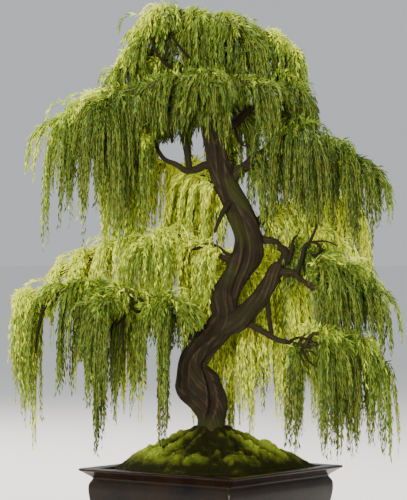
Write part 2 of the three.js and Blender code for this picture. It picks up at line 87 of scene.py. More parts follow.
class Mass(NamedTuple):
    """A weeping mass on a bough's tip: turn from the bough's heading, reach and lift of its arching stem,
    drop of the stem's end, and fall of its twigs."""

    turn: float
    reach: float
    lift: float
    drop: float
    fall: float


class Bough(NamedTuple):
    """A limb: at is a height on the trunk or a share of another bough, heading is degrees from +X towards
    +Y, reach and rise run to the tip, bow lifts the middle, thick is the radius at each end, leafy_from is
    the share of its length past which twigs spring from the bough itself, and bend is where it bows."""

    name: str
    parent: str
    at: float
    heading: float
    reach: float
    rise: float
    bow: float
    thick: tuple
    masses: tuple = ()
    leafy_from: float = 1.0
    bend: float = 0.5


SOIL_TOP = 0.096
TRUNK_FOOT = 0.0963
TRUNK_BENDS = (
    Bend(TRUNK_FOOT, 0.001, 0.000, 0.046),
    Bend(0.122, 0.001, 0.000, 0.028),
    Bend(0.155, 0.000, 0.000, 0.0215),
    Bend(0.198, -0.005, -0.004, 0.024),
    Bend(0.232, -0.022, -0.008, 0.024),
    Bend(0.258, -0.027, -0.007, 0.020),
    Bend(0.283, -0.011, -0.004, 0.0195),
    Bend(0.320, 0.018, 0.000, 0.020),
    Bend(0.359, 0.022, 0.004, 0.018),
    Bend(0.425, 0.052, 0.008, 0.019),
    Bend(0.470, 0.048, 0.004, 0.0185),
    Bend(0.537, 0.016, 0.000, 0.016),
    Bend(0.590, 0.004, 0.000, 0.0145),
    Bend(0.650, -0.013, 0.002, 0.010),
    Bend(0.730, -0.026, 0.002, 0.005),
)
TRUNK_LOBES = 3
TRUNK_LOBE_SHARE = 0.09
TRUNK_TWIST = 7
FLARE_TOP = 0.165
FLARE_ROOTS = 5
FLARE_ROOT_SHARE = 0.2


class Knuckle(NamedTuple):
    """A swelling on the trunk: its height, its heading, how far it stands out and how wide it is."""

    height: float
    heading: float
    rise: float
    width: float


class Groove(NamedTuple):
    """A deep groove that winds up the trunk: some heights with its heading at each, its depth as a share of
    the trunk's radius, and its width."""

    heights: tuple
    headings: tuple
    depth: float
    width: float


KNUCKLES = (
    Knuckle(0.228, 185, 0.010, 0.016),
    Knuckle(0.206, 195, 0.005, 0.016),
    Knuckle(0.172, 180, -0.005, 0.014),
    Knuckle(0.222, 355, 0.006, 0.014),
    Knuckle(0.192, 350, 0.005, 0.018),
    Knuckle(0.253, 0, -0.003, 0.012),
    Knuckle(0.306, 245, 0.005, 0.016),
    Knuckle(0.352, 190, 0.006, 0.018),
    Knuckle(0.420, 350, 0.006, 0.018),
    Knuckle(0.245, 90, 0.007, 0.020),
    Knuckle(0.480, 120, 0.006, 0.022),
    Knuckle(0.545, 300, 0.004, 0.014),
)
GROOVES = (
    Groove((0.155, 0.185, 0.224, 0.252, 0.310), (228, 270, 309, 322, 338), 0.36, 0.0042),
    Groove((0.205, 0.250, 0.300, 0.365), (205, 238, 268, 250), 0.22, 0.0034),
    Groove((0.345, 0.400, 0.450, 0.530), (305, 284, 252, 246), 0.28, 0.0036),
    Groove((0.400, 0.470, 0.560, 0.640), (225, 212, 280, 292), 0.24, 0.0032),
    Groove((0.160, 0.230, 0.320, 0.400), (60, 95, 120, 90), 0.32, 0.0042),
    Groove((0.300, 0.400, 0.500, 0.600), (40, 60, 130, 110), 0.26, 0.0036),
    Groove((0.170, 0.240, 0.320), (150, 128, 165), 0.26, 0.0036),
)
COLLAR_SHARE = 0.35
COLLAR_FADE = 6

BOUGHS = (
    Bough("right_bough", "trunk", 0.316, 350, 0.088, 0.092, -0.026, (0.017, 0.010)),
    Bough("right_fork_bough", "right_bough", 0.92, 350, 0.058, -0.028, 0.008, (0.006, 0.004), (
        Mass(8, 0.076, 0.040, 0.016, 0.095),
        Mass(-60, 0.048, 0.040, 0.000, 0.070)), leafy_from=0.55),
    Bough("right_loop_bough", "trunk", 0.425, 5, 0.060, -0.006, 0.020, (0.008, 0.005), (
        Mass(38, 0.095, 0.038, 0.010, 0.105),)),
    Bough("right_low_bough", "right_bough", 0.32, 348, 0.108, -0.042, -0.008, (0.0055, 0.0035), (
        Mass(4, 0.088, 0.024, 0.028, 0.155),
        Mass(-48, 0.062, 0.024, 0.008, 0.180),
        Mass(62, 0.066, 0.024, 0.008, 0.155))),
    Bough("left_low_bough", "trunk", 0.284, 188, 0.110, 0.058, 0.014, (0.0065, 0.004), (
        Mass(-6, 0.132, 0.032, 0.000, 0.190),
        Mass(48, 0.082, 0.024, 0.005, 0.150),
        Mass(-62, 0.090, 0.028, 0.000, 0.165),
        Mass(112, 0.066, 0.020, 0.008, 0.130)), leafy_from=0.70),
    Bough("left_mid_bough", "trunk", 0.400, 166, 0.108, 0.018, 0.020, (0.008, 0.004), (
        Mass(8, 0.146, 0.028, 0.028, 0.095),
        Mass(66, 0.066, 0.026, 0.005, 0.095),
        Mass(-66, 0.066, 0.026, 0.005, 0.120)), leafy_from=0.12),
    Bough("left_inner_bough", "trunk", 0.556, 184, 0.095, 0.024, -0.022, (0.006, 0.004), (
        Mass(22, 0.046, 0.018, 0.005, 0.190),
        Mass(-72, 0.072, 0.024, 0.005, 0.175)), bend=0.7),
    Bough("left_upper_bough", "trunk", 0.630, 183, 0.105, 0.022, 0.016, (0.009, 0.0045), (
        Mass(0, 0.106, 0.014, 0.040, 0.190),
        Mass(48, 0.090, 0.014, 0.025, 0.225),
        Mass(-52, 0.095, 0.014, 0.025, 0.235)), leafy_from=0.30),
    Bough("front_bough", "trunk", 0.598, 265, 0.080, 0.062, 0.014, (0.008, 0.004), (
        Mass(-75, 0.092, 0.024, 0.014, 0.115),
        Mass(0, 0.042, 0.024, 0.000, 0.115),
        Mass(75, 0.086, 0.024, 0.010, 0.115)), leafy_from=0.30),
    Bough("right_upper_bough", "trunk", 0.585, 355, 0.080, 0.078, 0.004, (0.010, 0.005), (
        Mass(-32, 0.056, 0.032, 0.028, 0.095),
        Mass(48, 0.056, 0.032, 0.018, 0.115)), leafy_from=0.15),
    Bough("right_mid_bough", "trunk", 0.520, 350, 0.095, 0.072, 0.014, (0.009, 0.0045), (
        Mass(2, 0.106, 0.016, 0.055, 0.125),
        Mass(-60, 0.066, 0.024, 0.005, 0.145),
        Mass(52, 0.095, 0.024, 0.025, 0.140)), leafy_from=0.15),
    Bough("apex_left_bough", "trunk", 0.662, 182, 0.062, 0.050, 0.010, (0.006, 0.0035), (
        Mass(0, 0.062, 0.026, 0.028, 0.085),), leafy_from=0.35),
    Bough("apex_right_bough", "trunk", 0.684, 352, 0.078, 0.048, 0.010, (0.006, 0.0035), (
        Mass(0, 0.066, 0.026, 0.024, 0.085),), leafy_from=0.35),
    Bough("apex_back_bough", "trunk", 0.650, 82, 0.060, 0.066, 0.010, (0.0055, 0.0035), (
        Mass(0, 0.060, 0.030, 0.012, 0.095),), leafy_from=0.35),
    Bough("back_upper_bough", "trunk", 0.600, 95, 0.108, 0.050, 0.014, (0.009, 0.0045), (
        Mass(-42, 0.082, 0.028, 0.015, 0.140),
        Mass(46, 0.082, 0.028, 0.015, 0.145)), leafy_from=0.35),
    Bough("back_mid_bough", "trunk", 0.490, 128, 0.122, 0.045, 0.014, (0.009, 0.0045), (
        Mass(-44, 0.082, 0.028, 0.010, 0.180),
        Mass(42, 0.092, 0.028, 0.010, 0.180)), leafy_from=0.35),
    Bough("back_low_bough", "trunk", 0.335, 75, 0.108, 0.060, 0.014, (0.009, 0.0045), (
        Mass(-46, 0.084, 0.028, 0.010, 0.235),
        Mass(50, 0.084, 0.028, 0.010, 0.235)), leafy_from=0.30),
    Bough("back_right_bough", "trunk", 0.450, 42, 0.122, 0.040, 0.014, (0.008, 0.0045), (
        Mass(0, 0.092, 0.028, 0.015, 0.150),), leafy_from=0.22),
)
TIP_HEADING = 270
TIP_LEAFY_FROM = 0.86
TIP_MASSES = (
    Mass(-58, 0.072, 0.052, -0.006, 0.085),
    Mass(58, 0.078, 0.050, -0.006, 0.085),
)

LEADER = ((-0.026, 0.002, 0.722), (-0.029, -0.001, 0.752), (-0.022, -0.004, 0.783))
LEADER_FALL = 0.085

# Bare twigs that show against the light: points along each, then the radius at its foot and its tip
BARE_TWIGS = (
    (((0.096, -0.014, 0.398), (0.113, -0.016, 0.407), (0.119, -0.018, 0.422), (0.122, -0.018, 0.440),
      (0.129, -0.019, 0.448)), 0.0036, 0.0016),
    (((0.126, -0.020, 0.386), (0.132, -0.022, 0.404), (0.136, -0.022, 0.418), (0.138, -0.023, 0.429),
      (0.146, -0.024, 0.436), (0.157, -0.025, 0.435), (0.162, -0.026, 0.426), (0.155, -0.027, 0.417),
      (0.146, -0.027, 0.421)), 0.0036, 0.0014),
    (((0.146, -0.024, 0.436), (0.153, -0.026, 0.452), (0.160, -0.028, 0.471), (0.167, -0.030, 0.492)),
     0.0026, 0.0010),
    (((0.150, -0.025, 0.437), (0.170, -0.028, 0.438), (0.188, -0.030, 0.431)), 0.0018, 0.0007),
    (((0.082, -0.012, 0.362), (0.085, -0.013, 0.335), (0.087, -0.014, 0.316), (0.091, -0.016, 0.294)),
     0.0042, 0.0030),
    (((0.124, -0.022, 0.284), (0.136, -0.036, 0.273), (0.145, -0.043, 0.259), (0.156, -0.047, 0.251)),
     0.0026, 0.0009),
    (((0.112, -0.020, 0.287), (0.130, -0.034, 0.295), (0.146, -0.040, 0.291), (0.159, -0.043, 0.284)),
     0.0024, 0.0009),
    (((0.136, -0.036, 0.273), (0.147, -0.044, 0.275), (0.156, -0.048, 0.267)), 0.0018, 0.0008),
    (((-0.020, -0.010, 0.289), (-0.036, -0.016, 0.297), (-0.047, -0.020, 0.299)), 0.0050, 0.0036),
    (((-0.036, -0.004, 0.676), (-0.052, -0.028, 0.690), (-0.073, -0.042, 0.706), (-0.086, -0.048, 0.727),
      (-0.085, -0.050, 0.752)), 0.0034, 0.0011),
    (((-0.022, -0.006, 0.688), (-0.032, -0.032, 0.708), (-0.046, -0.044, 0.724), (-0.059, -0.050, 0.742),
      (-0.060, -0.052, 0.757)), 0.0030, 0.0010),
    (((-0.073, -0.042, 0.706), (-0.066, -0.048, 0.722), (-0.071, -0.051, 0.738)), 0.0020, 0.0008),
    (((-0.234, -0.023, 0.355), (-0.250, -0.030, 0.337), (-0.258, -0.034, 0.305), (-0.262, -0.036, 0.272)),
     0.0030, 0.0010),
    (((-0.104, -0.018, 0.337), (-0.109, -0.032, 0.333), (-0.116, -0.043, 0.337), (-0.124, -0.050, 0.347)),
     0.0026, 0.0010),
    (((-0.120, -0.019, 0.342), (-0.128, -0.040, 0.330), (-0.131, -0.050, 0.306), (-0.130, -0.053, 0.270)),
     0.0028, 0.0010),
    (((-0.129, -0.043, 0.325), (-0.140, -0.051, 0.316), (-0.147, -0.055, 0.323)), 0.0020, 0.0009),
    (LEADER, 0.0050, 0.0012),
    (((-0.033, -0.003, 0.546), (-0.037, -0.004, 0.574), (-0.043, -0.004, 0.606), (-0.046, -0.003, 0.646)),
     0.0046, 0.0062),
    (((-0.066, -0.005, 0.652), (-0.064, -0.006, 0.622), (-0.060, -0.008, 0.600), (-0.059, -0.009, 0.584)),
     0.0056, 0.0018),
    (((0.100, -0.012, 0.430), (0.109, -0.013, 0.424), (0.109, -0.014, 0.412), (0.100, -0.014, 0.400)),
     0.0052, 0.0085),
    (((0.034, -0.003, 0.614), (0.038, -0.010, 0.594), (0.048, -0.012, 0.581), (0.055, -0.014, 0.583),
      (0.060, -0.015, 0.570)), 0.0018, 0.0008),
    (((0.032, -0.004, 0.502), (0.019, -0.016, 0.485), (0.011, -0.020, 0.468), (0.004, -0.021, 0.450)),
     0.0052, 0.0022),
)


class BarkLook(bpy.types.PropertyGroup):
    """Colours and relief of the trunk and boughs."""

    # Groove and crest are the dark and light ends of the bark's mottle: the mesh shifts it towards the crest
    # colour as a painted highlight on the crests, and towards the groove colour as painted shade in the
    # grooves
    groove: FloatVectorProperty(
        name="Groove", description="Colour of the bark's grooves", subtype="COLOR", min=0, max=1,
        default=(0.0160, 0.0098, 0.0034))
    crest: FloatVectorProperty(
        name="Crest", description="Colour of the bark's crests", subtype="COLOR", min=0, max=1,
        default=(0.045, 0.0295, 0.0120))
    moss: FloatVectorProperty(
        name="Moss film", description="Colour of the green film on the bark", subtype="COLOR", min=0, max=1,
        default=(0.026, 0.031, 0.003))
    relief: FloatProperty(
        name="Relief", description="Depth of the bark's ropes against the deepest that they may be",
        subtype="FACTOR", min=0, max=1, default=1.0)


class LeafLook(bpy.types.PropertyGroup):
    """Sizes and tints of the weeping foliage."""

    twig_spacing: FloatProperty(
        name="Twig spacing", description="Way along a stem from one twig to the next", unit="LENGTH",
        min=0.001, max=0.05, default=0.0024, precision=4)
    strands: IntProperty(
        name="Strands", description="Strands that hang from a twig", min=1, max=20, default=6)
    leaf_spacing: FloatProperty(
        name="Leaf spacing", description="Way down a strand from one leaf to the next", unit="LENGTH",
        min=0.001, max=0.02, default=0.0055, precision=4)
    leaf_length: FloatProperty(
        name="Leaf length", description="Length of a full leaf", unit="LENGTH",
        min=0.004, max=0.05, default=0.0135, precision=4)
    leaf_width: FloatProperty(
        name="Leaf width", description="Width of a full leaf at its widest", unit="LENGTH",
        min=0.0005, max=0.01, default=0.0031, precision=4)
    # The five leaf tints are lit and shaded copies of one green, dealt out by painted light: shade and deep
    # are painted shade, fresh the middle, bright and sunlit painted light
    shade: FloatVectorProperty(
        name="Shade", description="Tint of the sprays deep inside", subtype="COLOR", min=0, max=1,
        default=(0.040, 0.066, 0.007))
    # Deep is a painted half-shade: the tint of the sprays that get little painted light, below the stems'
    # tops and away from the rim and the back
    deep: FloatVectorProperty(
        name="Deep", description="Tint of the lower, older sprays", subtype="COLOR", min=0, max=1,
        default=(0.078, 0.127, 0.011))
    fresh: FloatVectorProperty(
        name="Fresh", description="Tint of most sprays", subtype="COLOR", min=0, max=1,
        default=(0.168, 0.253, 0.022))
    bright: FloatVectorProperty(
        name="Bright", description="Tint of the sprays in the light", subtype="COLOR", min=0, max=1,
        default=(0.460, 0.575, 0.042))
    sunlit: FloatVectorProperty(
        name="Sunlit", description="Tint of the sprays that the sun shines through", subtype="COLOR",
        min=0, max=1, default=(0.830, 0.890, 0.070))
    twig: FloatVectorProperty(
        name="Twig", description="Colour of the woody twigs", subtype="COLOR", min=0, max=1,
        default=(0.042, 0.028, 0.0125))
    shoot: FloatVectorProperty(
        name="Shoot", description="Colour of the green hanging shoots", subtype="COLOR", min=0, max=1,
        default=(0.260, 0.280, 0.036))


class GroundLook(bpy.types.PropertyGroup):
    """Colours of the moss and soil."""

    # The moss's mottle runs from the dark colour, painted shade in its hollows, to the light colour, painted
    # light on its cushions, ridges and rims
    moss_dark: FloatVectorProperty(
        name="Moss, dark", description="Colour of the moss in its hollows", subtype="COLOR", min=0, max=1,
        default=(0.0120, 0.0118, 0.0011))
    moss_light: FloatVectorProperty(
        name="Moss, light", description="Colour of the moss on its cushions", subtype="COLOR", min=0, max=1,
        default=(0.150, 0.185, 0.014))
    soil_dark: FloatVectorProperty(
        name="Soil, dark", description="Colour of the damp soil", subtype="COLOR", min=0, max=1,
        default=(0.014, 0.009, 0.006))
    soil_light: FloatVectorProperty(
        name="Soil, light", description="Colour of the dry crumbs", subtype="COLOR", min=0, max=1,
        default=(0.075, 0.050, 0.032))


class PotLook(bpy.types.PropertyGroup):
    """Colours and roundings of the glazed pot."""

    body: FloatVectorProperty(
        name="Body glaze", description="Colour of the body's glaze", subtype="COLOR", min=0, max=1,
        default=(0.0048, 0.0050, 0.0056))
    body_brown: FloatVectorProperty(
        name="Body mottle", description="Brown clouds in the body's glaze", subtype="COLOR", min=0, max=1,
        default=(0.019, 0.012, 0.0065))
    lip: FloatVectorProperty(
        name="Lip glaze", description="Colour of the lip's glaze", subtype="COLOR", min=0, max=1,
        default=(0.0075, 0.0031, 0.0012))
    lip_worn: FloatVectorProperty(
        name="Lip worn", description="Colour of the lip where it is rubbed", subtype="COLOR", min=0, max=1,
        default=(0.022, 0.0100, 0.0040))
    corner: FloatProperty(
        name="Corner", description="Radius of the pot's upright corners", unit="LENGTH",
        min=0.001, max=0.03, default=0.006, precision=4)


class StageLook(bpy.types.PropertyGroup):
    """Floor, background and lights."""

    floor: FloatVectorProperty(
        name="Floor", description="Colour of the floor", subtype="COLOR", min=0, max=1,
        default=(0.90, 0.89, 0.87))
    sky: FloatVectorProperty(
        name="Background", description="Colour of the background", subtype="COLOR", min=0, max=1,
        default=(0.62, 0.64, 0.66))
    sky_strength: FloatProperty(
        name="Background strength", description="Brightness of the background", min=0, max=5, default=0.9)
    key_power: FloatProperty(
        name="Key light", description="Power of the light from behind on the left", unit="POWER",
        min=0, max=2000, default=75)
    top_power: FloatProperty(
        name="Top light", description="Power of the light from above", unit="POWER",
        min=0, max=2000, default=80)
    fill_power: FloatProperty(
        name="Fill light", description="Power of the light from the front", unit="POWER",
        min=0, max=2000, default=145)


def unit(vectors):
    """Vectors scaled to a length of 1."""
    return vectors / np.maximum(np.linalg.norm(vectors, axis=-1, keepdims=True), 1e-12)


def angle_between(first, second):
    """The turn from one heading to another, in degrees from -180 to 180."""
    return (first - second + 180) % 360 - 180


def smoothstep(values):
    """0 to 1 with level ends."""
    clipped = np.clip(values, 0, 1)
    return clipped * clipped * (3 - 2 * clipped)


# Further down, a pair called from, to or under holds where such a fade starts or ends, and its span
def fade_in(values, start, span):
    """0 up to a start, and 1 from a span past it."""
    return smoothstep((values - start) / span)


def fade_out(values, end, span):
    """1 up to a span before an end, and 0 from it on."""
    return smoothstep((end - values) / span)


def level(degrees):
    """Level directions at so many degrees from +X towards +Y."""
    angle = np.radians(degrees)
    return np.stack((np.cos(angle), np.sin(angle), np.zeros_like(angle)), axis=-1)


def bezier(controls, shares):
    """Points of Bezier curves: controls has the shape (..., n, 3) and shares (..., m)."""
    points = np.repeat(controls[..., None, :, :], shares.shape[-1], axis=-3)
    share = shares[..., None, None]
    while points.shape[-2] > 1:
        points = points[..., :-1, :] * (1 - share) + points[..., 1:, :] * share
    return points[..., 0, :]


def spline(points, count):
    """A smooth line of count points through a few, at even steps of their numbering."""
    ends = (2 * points[0] - points[1], 2 * points[-1] - points[-2])
    padded = np.vstack((ends[0], points, ends[1]))
    spot = np.linspace(0, len(points) - 1, count)
    first = np.minimum(spot.astype(int), len(points) - 2)
    t = (spot - first)[:, None]
    a, b, c, d = (padded[first + i] for i in range(4))
    bent = (2 * a - 5 * b + 4 * c - d) * t**2 + (3 * b - a - 3 * c + d) * t**3
    return 0.5 * (2 * b + (c - a) * t + bent)


def even_line(line, count, first=0.0, last=1.0):
    """count points along a line at even steps of its length, between two shares of it."""
    steps = np.linalg.norm(np.diff(line, axis=0), axis=1)
    way = np.concatenate(((0,), np.cumsum(steps)))
    wanted = np.linspace(first, last, count) * way[-1]
    return np.stack([np.interp(wanted, way, line[:, i]) for i in range(3)], axis=1)


def line_length(line):
    """The length of a line of points."""
    return float(np.linalg.norm(np.diff(line, axis=0), axis=1).sum())


def side_frames(line, first_normal):
    """Two unit vectors across a line at each of its points, turned along with it and not about it."""
    tangents = unit(np.gradient(line, axis=0))
    normals = np.empty_like(line)
    normal = np.asarray(first_normal, float)
    for i, tangent in enumerate(tangents):
        normal = unit(normal - tangent * (normal @ tangent))
        normals[i] = normal
    return normals, np.cross(tangents, normals)


def spokes(line, sides):
    """Unit vectors that point outward all round a line, a ring of them at each of its points."""
    normals, across = side_frames(line, FIRST_SPOKE)
    angles = np.linspace(0, TURN, sides, endpoint=False)
    return normals[:, None] * np.cos(angles)[:, None] + across[:, None] * np.sin(angles)[:, None]


def tube_faces(rings, sides):
    """Quads of a tube and the triangles that close its two ends on two extra points."""
    ring, side = np.meshgrid(np.arange(rings - 1), np.arange(sides), indexing="ij")
    after = (side + 1) % sides
    low, high = ring * sides, (ring + 1) * sides
    quads = np.stack((low + side, low + after, high + after, high + side), axis=-1).reshape(-1, 4)
    around = np.arange(sides)
    following = (around + 1) % sides
    foot = np.full(sides, rings * sides)
    top = (rings - 1) * sides
    foot_cap = np.stack((following, around, foot), axis=-1)
    tip_cap = np.stack((top + around, top + following, foot + 1), axis=-1)
    return quads, np.vstack((foot_cap, tip_cap))


def make_piece(name, points, face_groups, materials, face_materials=None, smooth=True, values=None):
    """A mesh object from arrays: points, groups of faces with equal corners, materials, which material each
    face has, and named values at the points."""
    mesh = bpy.data.meshes.new(name)
    corners = np.concatenate([group.ravel() for group in face_groups])
    sizes = np.concatenate([np.full(len(group), group.shape[1]) for group in face_groups])
    starts = np.concatenate(((0,), np.cumsum(sizes)[:-1]))
    mesh.vertices.add(len(points))
    mesh.loops.add(len(corners))
    mesh.polygons.add(len(sizes))
    mesh.vertices.foreach_set("co", points.astype(np.float32).ravel())
    mesh.loops.foreach_set("vertex_index", corners.astype(np.int32))
    mesh.polygons.foreach_set("loop_start", starts.astype(np.int32))
    if face_materials is not None:
        mesh.polygons.foreach_set("material_index", face_materials.astype(np.int32))
    mesh.polygons.foreach_set("use_smooth", np.full(len(sizes), smooth))
    mesh.update(calc_edges=True)
    for key, numbers in (values or {}).items():
        attribute = mesh.attributes.new(key, "FLOAT", "POINT")
        attribute.data.foreach_set("value", numbers.astype(np.float32).ravel())
    for material in materials:
        mesh.materials.append(material)
    if mesh.validate():
        raise RuntimeError(f"{name} has faces that can't be built")
    piece = bpy.data.objects.new(name, mesh)
    bpy.context.scene.collection.objects.link(piece)
    return piece


def place(piece, slot, *nodes):
    """Sets a piece on the tree's body, in place of its solids."""
    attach(piece, BODY)
    if nodes:
        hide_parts(*nodes)


def joined(parts):
    """One array of points and matching groups of faces from several (points, face groups)."""
    points, groups, first = [], {}, 0
    for part_points, face_groups in parts:
        points.append(part_points)
        for group in face_groups:
            groups.setdefault(group.shape[1], []).append(group + first)
        first += len(part_points)
    return np.vstack(points), [np.vstack(groups[size]) for size in sorted(groups)]


def node_group(name, inputs, outputs):
    """A shader node group with its named sockets, and its two ends."""
    group = bpy.data.node_groups.new(name, "ShaderNodeTree")
    for label, kind, value in inputs:
        socket = group.interface.new_socket(label, in_out="INPUT", socket_type=kind)
        socket.default_value = value
    for label, kind in outputs:
        group.interface.new_socket(label, in_out="OUTPUT", socket_type=kind)
    return group, group.nodes.new("NodeGroupInput"), group.nodes.new("NodeGroupOutput")


def open_socket(sockets, name):
    """The socket of that name which the node uses, where it has several."""
    return next(socket for socket in sockets if socket.name == name and socket.enabled)


CLOUD_DETAIL, SPECK_DETAIL = 5, 3
SPECK_WEIGHT = 0.45
MOTTLE_RANGE = (0.52, 0.94)


def mottle_group():
    """Two colours in soft clouds and fine specks, and a height for bumps."""
    name = "mottle"
    if name in bpy.data.node_groups:
        return bpy.data.node_groups[name]
    group, start, end = node_group(
        name,
        (("Dark", "NodeSocketColor", (0, 0, 0, 1)), ("Light", "NodeSocketColor", (1, 1, 1, 1)),
         ("Cloud Scale", "NodeSocketFloat", 40), ("Speck Scale", "NodeSocketFloat", 400),
         ("Shift", "NodeSocketFloat", 0)),
        (("Color", "NodeSocketColor"), ("Height", "NodeSocketFloat")))
    nodes, links = group.nodes, group.links
    place_node = nodes.new("ShaderNodeTexCoord")
    clouds = nodes.new("ShaderNodeTexNoise")
    clouds.inputs["Detail"].default_value = CLOUD_DETAIL
    specks = nodes.new("ShaderNodeTexNoise")
    specks.inputs["Detail"].default_value = SPECK_DETAIL
    blend = nodes.new("ShaderNodeMath")
    blend.operation = "MULTIPLY_ADD"
    blend.inputs[1].default_value = SPECK_WEIGHT
    shifted = nodes.new("ShaderNodeMath")
    shifted.operation = "ADD"
    spread = nodes.new("ShaderNodeMapRange")
    spread.inputs["From Min"].default_value = MOTTLE_RANGE[0]
    spread.inputs["From Max"].default_value = MOTTLE_RANGE[1]
    colour = nodes.new("ShaderNodeMix")
    colour.data_type = "RGBA"
    links.new(place_node.outputs["Object"], clouds.inputs["Vector"])
    links.new(place_node.outputs["Object"], specks.inputs["Vector"])
    links.new(start.outputs["Cloud Scale"], clouds.inputs["Scale"])
    links.new(start.outputs["Speck Scale"], specks.inputs["Scale"])
    links.new(specks.outputs["Fac"], blend.inputs[0])
    links.new(clouds.outputs["Fac"], blend.inputs[2])
    links.new(blend.outputs[0], shifted.inputs[0])
    links.new(start.outputs["Shift"], shifted.inputs[1])
    links.new(shifted.outputs[0], spread.inputs["Value"])
    links.new(spread.outputs["Result"], open_socket(colour.inputs, "Factor"))
    links.new(start.outputs["Dark"], open_socket(colour.inputs, "A"))
    links.new(start.outputs["Light"], open_socket(colour.inputs, "B"))
    links.new(open_socket(colour.outputs, "Result"), end.inputs["Color"])
    links.new(specks.outputs["Fac"], end.inputs["Height"])
    return group


def new_material(name, **values):
    """A material with one principled shader, and that shader."""
    material = bpy.data.materials.new(name)
    material.use_nodes = True
    shader = material.node_tree.nodes["Principled BSDF"]
    for key, value in values.items():
        shader.inputs[key.replace("_", " ").title().replace("Ior", "IOR")].default_value = value
    return material, shader


def opaque(colour):
    """A colour with full alpha."""
    return (*colour, 1.0)


def mottled_material(name, dark, light, cloud, speck, bump, bump_size, **values):
    """A material whose colour and small bumps come from the mottle group."""
    material, shader = new_material(name, **values)
    tree = material.node_tree
    mottle = tree.nodes.new("ShaderNodeGroup")
    mottle.node_tree = mottle_group()
    mottle.inputs["Dark"].default_value = opaque(dark)
    mottle.inputs["Light"].default_value = opaque(light)
    mottle.inputs["Cloud Scale"].default_value = cloud
    mottle.inputs["Speck Scale"].default_value = speck
    relief = tree.nodes.new("ShaderNodeBump")
    relief.inputs["Strength"].default_value = bump
    relief.inputs["Distance"].default_value = bump_size
    tree.links.new(mottle.outputs["Color"], shader.inputs["Base Color"])
    tree.links.new(mottle.outputs["Height"], relief.inputs["Height"])
    tree.links.new(relief.outputs["Normal"], shader.inputs["Normal"])
    return material


def shift_by_highlight(material, low, high):
    """Shifts a material's mottle from dark to light by the painted highlight and shade value that its mesh
    holds.
    """
    tree = material.node_tree
    crest = tree.nodes.new("ShaderNodeAttribute")
    crest.attribute_name = "crest"
    shift = tree.nodes.new("ShaderNodeMapRange")
    shift.inputs["To Min"].default_value = low
    shift.inputs["To Max"].default_value = high
    mottle = next(node for node in tree.nodes if node.type == "GROUP")
    tree.links.new(crest.outputs["Fac"], shift.inputs["Value"])
    tree.links.new(shift.outputs["Result"], mottle.inputs["Shift"])
    return mottle


def bark_material(look):
    """Bark: a mottle with painted shade in the grooves, painted highlights on the crests and a green film, by
    the values that the limbs' meshes hold.
    """
    name = "twisted_bark"
    if name in bpy.data.materials:
        return bpy.data.materials[name]
    material = mottled_material(name, look.groove, look.crest, cloud=60, speck=520, bump=0.5,
                                bump_size=0.0012, roughness=0.9, specular_ior_level=0.2)
    tree = material.node_tree
    shader = tree.nodes["Principled BSDF"]
    # Painted light on the bark: paler on the crests and darker in the grooves, by the value that the mesh
    # holds
    mottle = shift_by_highlight(material, low=-0.30, high=0.34)
    film = tree.nodes.new("ShaderNodeAttribute")
    film.attribute_name = "mossy"
    green = tree.nodes.new("ShaderNodeMix")
    green.data_type = "RGBA"
    open_socket(green.inputs, "B").default_value = opaque(look.moss)
    tree.links.new(film.outputs["Fac"], open_socket(green.inputs, "Factor"))
    tree.links.new(mottle.outputs["Color"], open_socket(green.inputs, "A"))
    tree.links.new(open_socket(green.outputs, "Result"), shader.inputs["Base Color"])
    return material


TRUNK_LINE_POINTS = 1401
CURVE_POINTS = 200
TRUNK_LINE = spline(np.array([(bend.x, bend.y, bend.height) for bend in TRUNK_BENDS]), TRUNK_LINE_POINTS)


def trunk_radius(points):
    """The trunk's mean radius where its middle line has these points, by their height."""
    heights = [bend.height for bend in TRUNK_BENDS]
    below = np.clip(np.searchsorted(heights, points[:, 2]) - 1, 0, len(heights) - 2)
    span = np.diff(heights)[below]
    between = smoothstep((points[:, 2] - np.array(heights)[below]) / span)
    radii = np.array([bend.radius for bend in TRUNK_BENDS])
    return radii[below] * (1 - between) + radii[below + 1] * between


def trunk_at(height):
    """The point of the trunk's middle line at a height."""
    return np.array([np.interp(height, TRUNK_LINE[:, 2], TRUNK_LINE[:, i]) for i in range(3)])


def bough_curves():
    """The three control points of every bough's middle line, by name."""
    curves = {}
    for bough in BOUGHS:
        if bough.parent == "trunk":
            start = trunk_at(bough.at)
        else:
            start = bezier(curves[bough.parent], np.array((bough.at,)))[0]
        tip = start + level(bough.heading) * bough.reach + UP * bough.rise
        middle = start + (tip - start) * bough.bend + UP * 2 * bough.bow
        curves[bough.name] = np.array((start, middle, tip))
    return curves


BOUGH_CURVES = bough_curves()

WANDER_WAVES = 3
WANDER_PITCH = (9, 22)
WANDER_RANGE = 1.6
# Ropes of the bark, coarse to fine: how many go round a limb, their depth as a share of its radius, and
# their twist
BARK_ROPES = ((2, 0.09, 6.0), (5, 0.10, 9.0), (11, 0.075, 12.0), (23, 0.046, 14.0), (47, 0.026, 16.0))
FINE_ROPES = 11
LEAST_SIDES_PER_ROPE = 4
ROPE_SWELL = 0.25
ROPE_MEAN = 0.72
BARK_SWAY = 0.9
# How strong the painted highlight on the crests of the fine ropes is, between which percentiles of their
# relief it rises, and how sharply
CREST_SHARE = 0.72
CREST_RANGE = (30, 99.5)
CREST_SHARPNESS = 1.5
END_CREST = 0.5
CUT_SHADE = 4
LIMB_END_SHARE = 0.05
BOUGH_TAPER_FROM = 0.25


def wander(way, random):
    """A slow seeded wave along a limb, between about -1 and 1."""
    total = np.zeros_like(way)
    for wave in range(1, WANDER_WAVES + 1):
        total += np.sin(way * random.uniform(*WANDER_PITCH) * wave + random.uniform(0, TURN)) / wave
    return total / WANDER_RANGE


